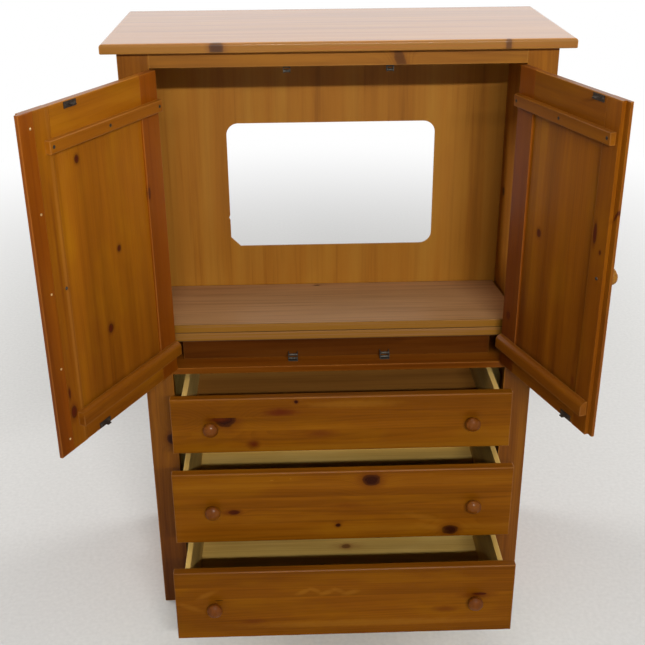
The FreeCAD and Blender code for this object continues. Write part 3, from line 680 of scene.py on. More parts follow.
class Figure:
    """The rings, staves, knots and stains that show on one board."""

    KNOT_MARGINS = (0.04, 0.012)
    KNOT_WIDTHS = (0.005, 0.010)
    KNOT_STRETCH = (1.0, 1.5)
    HEART_SPREAD = 0.10
    EDGE_BAND = (0.0040, 0.0020)
    SEAM_SHADE_BAND = (0.0034, 0.0010)
    RUBBED_BAND = (0.0012, 0.0050)
    GLUE_LINE = 0.0006

    def __init__(self, board: Board, placement: Placement) -> None:
        """Work out the board's graph up to its colours and heights.

        Args:
            board: The board.
            placement: The axes that it is measured in.
        """
        self.board = board
        self.timber = board.timber
        self.graph = Graph(bpy.data.materials.new(board.node))
        self.rng = random.Random(board.node)
        self.place = placement.place(self.graph)
        low, high = placement.extent(board.node)
        self.low = board.grain.along(low)
        self.high = board.grain.along(high)
        self.along, self.across, self.inward = board.grain.along(self.place.parts())
        self.stave_shift: Number | float = 0.0
        self.marks = (*board.marks, *self._strays())

    def _strays(self) -> list[Mark]:
        """Strew knots over the board.

        Returns:
            The knots, at random places.
        """
        found = []
        end, side = self.KNOT_MARGINS
        for _ in range(self.board.stray_knots):
            along = self.rng.uniform(self.low[0] + end, self.high[0] - end)
            across = self.rng.uniform(self.low[1] + side, self.high[1] - side)
            width = self.rng.uniform(*self.KNOT_WIDTHS)
            found.append(Mark(along, across, width * self.rng.uniform(*self.KNOT_STRETCH), width))
        return found

    def _noise(self, weave: Weave) -> Number:
        """Read a noise along the grain, shifted by the board's own luck.

        Args:
            weave: The noise.

        Returns:
            Its value, about one half.
        """
        shift = self.rng.uniform(0, 40) + weave.seed
        place = self.graph.point(
            self.along * weave.scale[0] + shift,
            self.across * weave.scale[1] + self.stave_shift,
            self.inward * weave.scale[2] + shift,
        )
        return self.graph.noise(place, weave.detail, weave.roughness)

    def _window(self, mark: Mark) -> Number | None:
        """Cut a mark off at its glue lines.

        Args:
            mark: The mark.

        Returns:
            One between the glue lines and nought beyond, or None where nothing cuts the mark.
        """
        window = None
        if mark.above is not None:
            window = self.across.eased(mark.above, mark.above + self.GLUE_LINE)
        if mark.below is not None:
            upper = self.across.eased(mark.below, mark.below - self.GLUE_LINE)
            window = upper if window is None else window * upper
        return window

    def _reach(self, mark: Mark, ragged: Number, share: float) -> Number:
        """Measure how far out of a mark a place is.

        Args:
            mark: The mark.
            ragged: Noise that frays its outline.
            share: How much it is frayed.

        Returns:
            The distance from its middle, which is one at its outline.
        """
        from_middle = self.along - mark.along
        sideways = self.across - mark.across
        if mark.lean:
            sideways = sideways - from_middle * mark.lean
        square = (from_middle / mark.length) ** 2.0 + (sideways / mark.width) ** 2.0
        return square.root() + ragged * share

    def rings(self) -> tuple[Number, Number]:
        """The growth rings.

        Returns:
            How much of a ring line shows, and how much lighter the stave is, about nought.
        """
        graph, timber = self.graph, self.timber
        seed = self.rng.uniform(1, 60)
        number: Number | float = seed
        for line in self.board.staves:
            number = self.across.over(line) + number
        luck_heart, luck_depth, luck_tone = graph.luck(number)
        self.stave_shift = luck_tone * 37.0
        middle = (self.low[1] + self.high[1]) / 2
        face = min(self.low[2], self.high[2])
        heart = self.across - middle + (luck_heart - 0.5) * self.HEART_SPREAD
        depth = self.inward - face + timber.heart * 0.6 + luck_depth * timber.heart
        slow = self._noise(SLOW_WAVE)
        quick = self._noise(QUICK_WAVE)
        radius = (heart * heart + depth * depth).root()
        radius = radius + self.along * timber.taper
        radius = radius + (slow - 0.5) * timber.wander + (quick - 0.5) * (timber.wander * 0.14)
        # Rings bend round a knot.
        for mark in self.marks:
            if mark.kind is MarkKind.KNOT:
                reach = self._reach(mark, slow, 0.0)
                radius = radius + math.e ** (reach * reach * -0.16) * (mark.width * 1.5)
        count = radius / timber.ring_gap
        within = count.fraction()
        # Late wood darkens slowly and ends sharply.
        line = within.eased(0.25, 0.86) * within.eased(1.0, 0.9)
        weight, _, _ = graph.luck(count.floor() + seed)
        return line * (weight * 0.75 + 0.25), luck_tone - 0.5

    def material(self) -> bpy.types.Material:
        """Colour, gloss and relief together.

        Returns:
            The board's material.
        """
        graph, timber = self.graph, self.timber
        rings, stave_tone = self.rings()
        fibres = self._noise(FIBRES)
        streaks = self._noise(STREAKS)
        broad = self._noise(BROAD)
        patches = self._noise(PATCHES)
        ends = [(0.0, srgb(timber.early)), (1.0, srgb(timber.late))]
        colour = graph.tint(rings * timber.ring_share, ends)
        colour = colour.towards(srgb(timber.warm), patches.eased(0.42, 0.72) * timber.patches)
        dark = streaks.eased(0.46, 0.80) * timber.streaks
        colour = colour.towards(srgb(timber.shade), dark)
        tone = (broad - 0.5) * timber.mottle + stave_tone * timber.stave_spread + (fibres - 0.5) * 0.35
        # Painted shade: the low or left end is darkened, or lightened where the amount is below nought, for how
        # light falls along the board.
        if self.board.fade:
            tone = tone - self.along.eased(self.high[0], self.low[0]) * self.board.fade
        # The board's own amount is random lightness on some boards and painted shade on others.
        colour = self._toned(colour, tone + self.board.tone)
        rim: Number | float = 0.0
        if timber.edge is not None:
            rim = self._from_edges().eased(*self.EDGE_BAND)
            ends = [(0.30, srgb(timber.shade)), (0.50, srgb(timber.edge))]
            colour = colour.towards(graph.tint(self._noise(EDGE_LINES), ends), rim)
            # Painted shade: the lower arris of an edge is darkened where two boards meet.
            seam = (self.inward - self.low[2]).eased(*self.SEAM_SHADE_BAND) * rim * timber.seam
            colour = colour.towards(srgb(timber.knot), seam)
        colour, sunk = self._marked(colour, streaks)
        from_arris = self._arris() + patches * 0.004
        rubbed = (1.0 - from_arris.eased(*self.RUBBED_BAND)) * timber.wear
        colour = colour.towards(srgb(timber.worn_and_lit), rubbed)
        height = rings * 0.5 + fibres * 0.7 - sunk
        rough = timber.roughness + (fibres - 0.5) * 0.22 + (patches - 0.5) * 0.10 - sunk * 0.08
        varnish = (1.0 - rubbed * 0.6) * timber.varnish * (1.0 - rim * (1.0 - timber.edge_varnish))
        if timber.crest is not None:
            varnish = varnish + graph.upward() * (timber.crest - timber.varnish)
        return graph.finish(
            {
                "Base Color": colour,
                "Roughness": rough,
                "Specular IOR Level": timber.gloss,
                "Coat Weight": varnish,
                "Coat Roughness": timber.varnish_roughness,
                "Normal": graph.bump(height, timber.relief),
            }
        )

    def _toned(self, colour: Tint, tone: Number) -> Tint:
        """Make a colour lighter where the amount is above nought and darker below it, be it random lightness or
        painted shade.

        Args:
            colour: The colour.
            tone: The amount, painted shade included.

        Returns:
            The toned colour.
        """
        light = tone.most(0.0).least(1.0)
        dark = (0.0 - tone).most(0.0).least(1.0)
        # Lighter amounts, painted light among them, lean towards the rubbed colour; darker amounts, painted shade
        # among them, are multiplied by the dusk colour.
        lifted = colour.towards(srgb(self.timber.worn_and_lit), light)
        return lifted.times(srgb(self.timber.dusk), dark)

    def _from_edges(self) -> Number:
        """Measure the way in from the board's ends and edges.

        Returns:
            The distance from the nearest of them.
        """
        ends = (self.along - self.low[0]).least(self.high[0] - self.along)
        edges = (self.across - self.low[1]).least(self.high[1] - self.across)
        return ends.least(edges)

    def _arris(self) -> Number:
        """Measure the way in from the board's arrises.

        Returns:
            The distance from the nearest of them, which is the second of the three distances to
            the board's faces.
        """
        gaps = []
        for value, low, high in zip((self.along, self.across, self.inward), self.low, self.high):
            gaps.append((value - low).least(high - value))
        largest = gaps[0].most(gaps[1]).most(gaps[2])
        smallest = gaps[0].least(gaps[1]).least(gaps[2])
        return gaps[0] + gaps[1] + gaps[2] - largest - smallest

    def _marked(self, colour: Tint, streaks: Number) -> tuple[Tint, Number | float]:
        """Lay the marks over the colour.

        Args:
            colour: The board's colour.
            streaks: Noise along the grain that frays the marks' outlines.

        Returns:
            The marked colour, and how far the surface is sunk.
        """
        timber = self.timber
        sunk: Number | float = 0.0
        if not self.marks:
            return colour, sunk
        ragged = (self._noise(GNARL) - 0.5) * 0.45 + (streaks - 0.5) * 0.25
        for mark in self.marks:
            reach = self._reach(mark, ragged, 1.0)
            window = self._window(mark)
            depth: Number | float = mark.depth if window is None else window * mark.depth
            if mark.kind is MarkKind.KNOT:
                colour = colour.towards(srgb(timber.halo), reach.eased(2.4, 0.7) * 0.6 * depth)
                growth = ((reach * 4.0).fraction() - 0.5) * 0.16 + 0.92
                heart = reach.eased(1.22, 0.62) * growth * depth
                colour = colour.towards(srgb(timber.knot), heart)
                rim = reach.eased(0.70, 0.95) * reach.eased(1.25, 1.0) * 0.5 * depth
                colour = colour.towards(srgb(timber.knot_rim), rim)
                sunk = rim * 0.6 + sunk
            elif mark.kind is MarkKind.SMEAR:
                colour = colour.towards(srgb(timber.halo), reach.eased(1.4, 0.1) * depth)
            elif mark.kind is MarkKind.CRACK:
                cut = reach.eased(1.15, 0.75) * depth
                colour = colour.towards(srgb(timber.crack), cut)
                sunk = cut + sunk
            else:
                # Pale figure and scratches; on the left door one pale line is a painted highlight.
                colour = colour.towards(srgb(timber.worn_and_lit), reach.eased(1.3, 0.3) * depth)
        return colour, sunk


STAINED = Timber(early="86500D", late="643204", warm="8E5A0C", shade="5C2B03", worn_and_lit="AA7024")
RAIL_PINE = replace(STAINED, early="8A5717", late="6C3B0B", warm="905D15", shade="643408", worn_and_lit="A87838")
# The top board's pine under a strong varnish; its base colour is made paler as painted glare.
POLISHED_PAINTED_GLARE = replace(
    STAINED,
    early="B8762A",
    late="9A5C1C",
    warm="BE7E30",
    shade="8E5216",
    worn_and_lit="C88C48",
    edge="875816",
    gloss=0.2,
    varnish=1.0,
    edge_varnish=0.12,
    varnish_roughness=0.12,
)
# A darker copy of STAINED with painted shade, for boards that lie in shadow: the top batten, the drawer rails and
# the platform's bearer.
SHADED = replace(
    STAINED,
    early="4C2404",
    late="381802",
    warm="542B05",
    shade="331401",
    worn_and_lit="6A4016",
    gloss=0.03,
    varnish=0.03,
)
# A darker copy of STAINED with painted shade, for the divider, which lies in the shadow under the platform.
SHADED_DIVIDER_PINE = replace(
    STAINED,
    early="6A3606",
    late="4E2402",
    warm="703E07",
    shade="4A2002",
    worn_and_lit="8A5418",
    gloss=0.04,
    varnish=0.04,
)
DOOR_PINE = Timber(
    early="98590A",
    late="763A04",
    warm="A26608",
    shade="6E3202",
    worn_and_lit="B87A32",
    knot="451204",
    ring_share=0.13,
    mottle=0.85,
    patches=0.8,
    streaks=0.3,
    crest=0.5,
)
HINGE_PINE = replace(DOOR_PINE, early="844203", late="6A3002", warm="8C4C05", streaks=0.55, wear=0.2)
MEETING_PINE = replace(DOOR_PINE, early="8C4F07", warm="985C07", streaks=0.45)
CLEAT_PINE = replace(DOOR_PINE, early="8C5009", warm="965A0A", worn_and_lit="A4743E", wear=0.35)
FRONT_PINE = Timber(
    early="724004",
    late="582C02",
    warm="7C4B03",
    shade="502502",
    worn_and_lit="905E18",
    mottle=1.2,
    gloss=0.03,
    varnish=0.035,
    crest=0.22,
)
PLY = Timber(
    early="955F1B",
    late="814D11",
    warm="9D681E",
    shade="794610",
    worn_and_lit="A6782C",
    halo="7C4A10",
    ring_gap=0.012,
    ring_share=0.22,
    wander=0.030,
    taper=0.030,
    heart=0.16,
    mottle=1.3,
    streaks=0.55,
    wear=0.2,
    varnish_roughness=0.3,
)
PLATFORM = Timber(
    early="B4895C",
    late="92683E",
    warm="BC9264",
    shade="7E5630",
    worn_and_lit="CCA070",
    edge="7A500E",
    seam=0.8,
    ring_gap=0.006,
    ring_share=0.35,
    heart=0.09,
    patches=0.5,
    streaks=0.9,
    wear=0.08,
    varnish_roughness=0.3,
)
BARE = Timber(
    early="BC9A50",
    late="9C7438",
    warm="C8A860",
    shade="987238",
    worn_and_lit="D6B87A",
    knot="4A2A14",
    halo="86582A",
    ring_gap=0.0055,
    ring_share=0.4,
    patches=0.45,
    streaks=0.4,
    wear=0.3,
    roughness=0.62,
    varnish=0.0,
    relief=0.00016,
)
# A darker, browner copy of BARE for the upper drawer's box.
BROWNER_BARE = replace(BARE, early="8A5A24", late="6E4216", warm="946428", shade="663C12", worn_and_lit="A07838")
TURNED = Timber(
    early="66350B",
    late="482105",
    warm="74420E",
    shade="3E1D04",
    worn_and_lit="8C5C20",
    ring_gap=0.0022,
    ring_share=0.6,
    wander=0.004,
    heart=0.012,
    patches=0.5,
    streaks=0.4,
    wear=0.0,
    roughness=0.36,
    gloss=0.03,
    varnish=0.15,
    varnish_roughness=0.08,
    relief=0.00004,
)
# A lighter copy of TURNED for the door knobs: painted light, as they catch more light than the drawers' knobs.
TURNED_PAINTED_LIGHT = replace(TURNED, early="8E5E1E", late="744812", warm="9A6C28", shade="663E0E", worn_and_lit="A87C3C")


def dress(boards: Iterable[Board], placement: Placement = HERE) -> None:
    """Give each board's CAD node its own material.

    Args:
        boards: The boards.
        placement: The axes that they are measured in.
    """
    for board in boards:
        paint(board.node, Figure(board, placement).material())


def paint(node: str, material: bpy.types.Material) -> None:
    """Put one material in a CAD node's only slot.

    Args:
        node: The node's name.
        material: The material.
    """
    mesh = frame["nodes"][node].data
    mesh.materials.clear()
    mesh.materials.append(material)
    log.info("dressed %s", node)


# --- metal ---------------------------------------------------------------------------
@dataclass(frozen=True)
class Metal:
    """A metal fitting's finish.

    Args:
        name: The material's name.
        bright: Its clean colour.
        dull: The colour of its tarnish.
        cells: Patches of tarnish to the metre.
        tarnish: How much of it is tarnished.
        roughness: Its mean roughness.
    """

    name: str
    bright: str
    dull: str
    cells: float = 220.0
    tarnish: float = 0.6
    roughness: float = 0.35

    def material(self) -> bpy.types.Material:
        """The finish as a material, made once.

        Returns:
            The material.
        """
        known = bpy.data.materials.get(self.name)
        if known is not None:
            return known
        graph = Graph(bpy.data.materials.new(self.name))
        place = graph.place()
        cloud = graph.noise(place * (self.cells, self.cells, self.cells), 4.0, 0.6)
        scratch = graph.noise(place * (self.cells * 9, self.cells, self.cells * 3), 2.0)
        stained = cloud.eased(0.4, 0.66) * self.tarnish
        colour = graph.tint(stained, [(0.0, srgb(self.bright)), (1.0, srgb(self.dull))])
        return graph.finish(
            {
                "Base Color": colour,
                "Metallic": 1.0 - stained * 0.45,
                "Roughness": self.roughness + stained * 0.25 + (scratch - 0.5) * 0.2,
                "Normal": graph.bump(scratch, 0.00003),
            }
        )


BRASS = Metal("brass", "D9B45E", "8A6A2C", roughness=0.32, tarnish=0.5)
AGED_BRASS = Metal("aged_brass", "A07C3A", "5C4420", roughness=0.45, tarnish=0.7)
ZINC = Metal("zinc_plate", "4C4841", "2A231B", tarnish=0.85, roughness=0.6)
RUSTED = Metal("rusted_plate", "463D34", "2C1E14", tarnish=0.95, roughness=0.65)
DARK_STEEL = Metal("dark_steel", "4C463F", "241A13", tarnish=0.8, roughness=0.45)


# --- fasteners -----------------------------------------------------------------------
def turned(outline: Sequence[tuple[float, float]], segments: int = 28) -> bpy.types.Mesh:
    """Turn an outline about the Z axis into a closed mesh.

    Args:
        outline: Radius and height of each point, from the axis round to the axis again.
        segments: How many steps go round.

    Returns:
        The mesh.
    """
    shape = bmesh.new()
    corners = [shape.verts.new((radius, 0.0, height)) for radius, height in outline]
    edges = [shape.edges.new(pair) for pair in zip(corners, corners[1:])]
    centre, axis = (0.0, 0.0, 0.0), (0.0, 0.0, 1.0)
    bmesh.ops.spin(shape, geom=corners + edges, cent=centre, axis=axis, angle=math.tau, steps=segments)
    bmesh.ops.remove_doubles(shape, verts=shape.verts, dist=WELD * MM)
    bmesh.ops.recalc_face_normals(shape, faces=shape.faces)
    mesh = bpy.data.meshes.new("turned")
    shape.to_mesh(mesh)
    shape.free()
    return mesh


def carved(solid: bpy.types.Mesh, cutter: bpy.types.Mesh) -> bpy.types.Mesh:
    """Cut one closed mesh from another.

    Args:
        solid: What is cut. It is used up.
        cutter: What is cut away. It is used up.

    Returns:
        What is left.
    """
    pair = [bpy.data.objects.new(mesh.name, mesh) for mesh in (solid, cutter)]
    for each in pair:
        bpy.context.scene.collection.objects.link(each)
    cut = pair[0].modifiers.new("cut", "BOOLEAN")
    cut.operation = "DIFFERENCE"
    cut.object = pair[1]
    seen = pair[0].evaluated_get(bpy.context.evaluated_depsgraph_get())
    left = bpy.data.meshes.new_from_object(seen)
    for each in pair:
        bpy.data.objects.remove(each)
    for mesh in (solid, cutter):
        bpy.data.meshes.remove(mesh)
    return left


@dataclass(frozen=True)
class Fastener:
    """A screw or pin in millimetres, its head's seat at the origin and its head towards +Z.

    Args:
        head: Radius of its head.
        rise: How far its head stands above the seat.
        shank: Radius of its shank.
        length: Length of its shank, to the seat.
        sunk: Whether the head's underside is a cone that lies in its hole.
        recess: Depth of the cross cut into its head, nought for none.
    """

    head: float
    rise: float
    shank: float
    length: float
    sunk: bool = False
    recess: float = 0.0

    def outline(self) -> list[tuple[float, float]]:
        """Draw half of its outline.

        Returns:
            Radius and height of each point, from its tip to the top of its head.
        """
        under = self.shank - self.head if self.sunk else 0.0
        lip = self.rise * 0.3
        points = [(0.0, -self.length), (self.shank, self.shank * 1.5 - self.length)]
        points += [(self.shank, under), (self.head, 0.0)]
        steps = 6
        for step in range(steps):
            turn = step / steps * math.pi / 2
            points.append((self.head * math.cos(turn), lip + (self.rise - lip) * math.sin(turn)))
        points.append((0.0, self.rise))
        return points

    def cross(self) -> bpy.types.Mesh:
        """Make the tapered cross that its recess is cut with.

        Returns:
            The cross as a closed mesh.
        """
        shape = bmesh.new()
        rings = []
        for height, reach, half in (
            (self.rise - self.recess, self.head * 0.32, self.head * 0.09),
            (self.rise + 0.3, self.head * 0.68, self.head * 0.16),
        ):
            ring = []
            for quarter in range(4):
                turn = Matrix.Rotation(quarter * math.pi / 2, 3, "Z")
                for x, y in ((half, half), (reach, half), (reach, -half)):
                    ring.append(shape.verts.new(turn @ Vector((x, y, height))))
            rings.append(ring)
        lower, upper = rings
        count = len(lower)
        order = [quarter * 3 + corner for quarter in (0, 3, 2, 1) for corner in range(3)]
        shape.faces.new([lower[index] for index in order])
        shape.faces.new([upper[index] for index in order])
        for place in range(count):
            first, second = order[place], order[(place + 1) % count]
            shape.faces.new((lower[first], lower[second], upper[second], upper[first]))
        bmesh.ops.recalc_face_normals(shape, faces=shape.faces)
        mesh = bpy.data.meshes.new("cross")
        shape.to_mesh(mesh)
        shape.free()
        return mesh

    def mesh(self) -> bpy.types.Mesh:
        """The whole fastener as one closed mesh."""
        plain = turned(self.outline())
        return carved(plain, self.cross()) if self.recess else plain


Driven = tuple[Fastener, Matrix]
SHARPEST_BEND = math.radians(35)

KNOB_SCREW = Fastener(head=3.4, rise=1.8, shank=2.0, length=27.0, recess=1.3)
CLEAT_SCREW = Fastener(head=3.55, rise=0.05, shank=1.75, length=20.0, sunk=True, recess=1.4)
STRIKE_SCREW = Fastener(head=2.0, rise=0.8, shank=1.0, length=10.0, recess=0.6)
HINGE_SCREW = Fastener(head=2.4, rise=0.05, shank=1.1, length=9.0, sunk=True)
STRIP_PIN = Fastener(head=2.3, rise=0.9, shank=1.0, length=12.0)
PANEL_PIN = Fastener(head=1.7, rise=0.5, shank=0.8, length=14.0)


def drive(name: str, body: str, finish: Metal, work: Iterable[Driven]) -> bpy.types.Object:
    """Make like fasteners into one piece that rides a body.

    Args:
        name: The piece's name.
        body: The body that it rides.
        finish: Its metal.
        work: Each fastener and where it lies.

    Returns:
        The piece.
    """
    shape = bmesh.new()
    for fastener, place in work:
        one = fastener.mesh()
        one.transform(place @ Matrix.Scale(1 / MM, 4))
        shape.from_mesh(one)
        bpy.data.meshes.remove(one)
    mesh = bpy.data.meshes.new(name)
    shape.to_mesh(mesh)
    shape.free()
    mesh.shade_smooth()
    mesh.set_sharp_from_angle(angle=SHARPEST_BEND)
    mesh.materials.append(finish.material())
    piece = bpy.data.objects.new(name, mesh)
    bpy.context.scene.collection.objects.link(piece)
    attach(piece, body)
    log.info("drove %s", name)
    return piece


def knob_screws(node: str, placement: Placement = HERE) -> list[Driven]:
    """Screws for a node's solids, whose heads are all at their +Y ends.

    Args:
        node: The CAD node of plain screws.
        placement: The axes that they lie along.

    Returns:
        Each screw and where it lies.
    """
    rng = random.Random(node)
    work = []
    for low, high in placement.solids(node):
        total = (high.y - low.y) * MM
        width = (high.x - low.x) * MM
        if width < KNOB_SCREW.head + CLEAT_SCREW.head:
            screw = replace(KNOB_SCREW, length=total - KNOB_SCREW.rise)
            seat = high.y - screw.rise / MM
        else:
            screw = replace(CLEAT_SCREW, length=total)
            seat = high.y
        middle = (low + high) / 2
        place = placement.aim((middle.x, seat, middle.z), (0, 1, 0), rng.uniform(0, math.pi))
        work.append((screw, place))
    return work


# --- sub-assemblies ------------------------------------------------------------------
@dataclass
class Carcass:
    """The fixed boards round the bay and the drawers.

    Args:
        body: The body that they all belong to.
        pin_pitch: Distance between two pins of the back panel.
        pin_reach: How far the outermost pins are from the middle.
        hinge_screw_lift: Distance of a hinge's screws above and below its middle.
        hinge_screw_depth: How far they lie behind the hinge line.
        hinge_face: Distance of a leaf's open face from the hinge line, towards the opening.
    """

    body: str = "carcass"
    pin_pitch: float = 0.1
    pin_reach: float = 0.4
    hinge_screw_lift: float = 0.016
    hinge_screw_depth: float = 0.0082
    hinge_face: float = -0.0001

    def dress(self) -> None:
        """Give every board of the carcass its timber."""
        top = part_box("top_board")
        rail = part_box("top_front_rail")
        board_knots = (
            Mark(-0.246, top[0].y, 0.012, 0.006, depth=0.8),
            Mark(0.339, top[0].y, 0.005, 0.006, depth=0.6),
        )
        rail_knots = (Mark(0.124, rail[0].z + 0.013, 0.011, 0.016, depth=0.6, lean=-0.8),)
        glue_lines = (0.062, 0.151, 0.243, 0.322)
        boards = [
            Board("top_board", Grain.SHELF, POLISHED_PAINTED_GLARE, glue_lines, board_knots),
            Board("top_front_rail", Grain.RAIL, RAIL_PINE, marks=rail_knots),
            # Painted shade: the stiles are darker, and darker still towards their low ends, where the pulled-out
            # drawers shade them.
            Board("left_front_stile", Grain.STILE, STAINED, stray_knots=2, tone=-0.22, fade=0.5),
            Board("right_front_stile", Grain.STILE, STAINED, stray_knots=2, tone=-0.12, fade=0.45),
            Board("left_side_panel", Grain.SIDE, STAINED, (0.11, 0.21, 0.30), stray_knots=7),
            Board("right_side_panel", Grain.SIDE, STAINED, (0.10, 0.19, 0.29), stray_knots=6),
            Board("top_batten", Grain.RAIL, SHADED),
            Board("base_front_rail", Grain.RAIL, STAINED, stray_knots=2, tone=-0.2),
            Board("drawer_rails", Grain.RAIL, SHADED),
            Board("bottom_board", Grain.SHELF, BARE, (0.15, 0.27), stray_knots=3),
            Board("drawer_runners", Grain.RUNNER, BARE),
            Board("divider_board", Grain.SHELF, SHADED_DIVIDER_PINE, (0.12, 0.24), stray_knots=2),
            Board("platform_bearer", Grain.RAIL, SHADED),
            # Painted light: the back panel is lighter towards its low end, where more light reaches it.
            Board("back_panel", Grain.STILE, PLY, fade=-0.12),
        ]
        dress(boards)
        paint("door_catches", ZINC.material())
        paint("frame_hinge_leaves", AGED_BRASS.material())

    def pin(self) -> None:
        """Drive the back panel's pins into the boards that it closes."""
        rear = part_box("back_panel")[1].y
        work = []
        for board in ("divider_board", "bottom_board"):
            low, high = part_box(board)
            for step in range(round(2 * self.pin_reach / self.pin_pitch) + 1):
                x = step * self.pin_pitch - self.pin_reach
                work.append((PANEL_PIN, HERE.aim((x, rear, (low.z + high.z) / 2), (0, 1, 0))))
        drive("back_panel_pins", self.body, DARK_STEEL, work)

    def screw_hinges(self) -> None:
        """Screw each hinge's fixed leaf to its stile."""
        work = []
        for joint in frame["joints"]:
            if joint["type"] == "hinge":
                pin_x = joint["pos_m"][0]
                own = Placement((pin_x, 0.0, 0.0), mirrored=pin_x > 0)
                work += hinge_screws(joint["child"], own, self, 1.0)
        drive("frame_hinge_screws", self.body, AGED_BRASS, work)


def hinge_screws(door: str, own: Placement, sizes: Carcass, side: float) -> list[Driven]:
    """Two screws for each leaf on one side of a door's hinge line.

    Args:
        door: The door's name.
        own: Axes on its hinge line, X pointing from the stile to the door.
        sizes: Where the screws lie on a leaf.
        side: One for the stile's leaf and minus one for the door's.

    Returns:
        Each screw and where it lies.
    """
    work = []
    for low, high in own.solids(f"{door}_hinge_leaves"):
        middle = (low.z + high.z) / 2
        for lift in (-sizes.hinge_screw_lift, sizes.hinge_screw_lift):
            place = (sizes.hinge_face * side, sizes.hinge_screw_depth, middle + lift)
            work.append((HINGE_SCREW, own.aim(place, (side, 0, 0))))
    return work


@dataclass
class Platform:
    """The two sloping boards that carry the television.

    Args:
        mount: The name of the face that the television stands on.
    """

    mount: str = "tv_platform"

    def dress(self) -> None:
        """Give both boards their timber, measured along the slope."""
        mount = next(m for m in frame["record"]["mounts"] if m["name"] == self.mount)
        slope = math.atan2(mount["axis"][1], mount["axis"][2])
        own = Placement(tuple(mount["pos_m"]), (-slope, 0.0, 0.0))
        rear = own.extent("platform_upper_board")[1].y
        knots = (
            Mark(-0.042, rear - 0.018, 0.007, 0.004),
            Mark(-0.02, rear - 0.014, 0.03, 0.004, MarkKind.SMEAR, 0.4),
        )
        boards = [
            Board("platform_lower_board", Grain.SHELF, PLATFORM),
            Board("platform_upper_board", Grain.SHELF, PLATFORM, marks=knots),
        ]
        dress(boards, own)


@dataclass
class Drawer:
    """One drawer.

    Args:
        name: Its name, which is its body's too.
        staves: The glue lines of its front, above the front's lower edge.
        marks: The knots of its front, from the middle and above the lower edge.
        bottom_marks: The knots of its bottom.
        inside: The timber of its box.
        tone: How much lighter its front is, or darker below nought as painted shade.
    """

    name: str
    staves: tuple[float, ...] = ()
    marks: tuple[Mark, ...] = ()
    bottom_marks: tuple[Mark, ...] = ()
    inside: Timber = BARE
    tone: float = 0.0

    def dress(self) -> None:
        """Give the drawer's boards and knobs their timber."""
        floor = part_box(f"{self.name}_front")[0].z
        staves = tuple(floor + line for line in self.staves)
        marks = tuple(mark.moved(0.0, floor) for mark in self.marks)
        boards = [
            Board(f"{self.name}_front", Grain.RAIL, FRONT_PINE, staves, marks, tone=self.tone),
            Board(f"{self.name}_sides", Grain.RUNNER, BARE, stray_knots=1),
            Board(f"{self.name}_back", Grain.RAIL, self.inside, stray_knots=2),
            Board(f"{self.name}_bottom", Grain.SHELF, self.inside, marks=self.bottom_marks),
            Board(f"{self.name}_knobs", Grain.PEG, TURNED),
        ]
        dress(boards)

    def screw(self) -> None:
        """Screw both knobs on."""
        node = f"{self.name}_knob_screws"
        piece = drive(f"{self.name}_pan_screws", self.name, DARK_STEEL, knob_screws(node))
        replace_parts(piece, node)


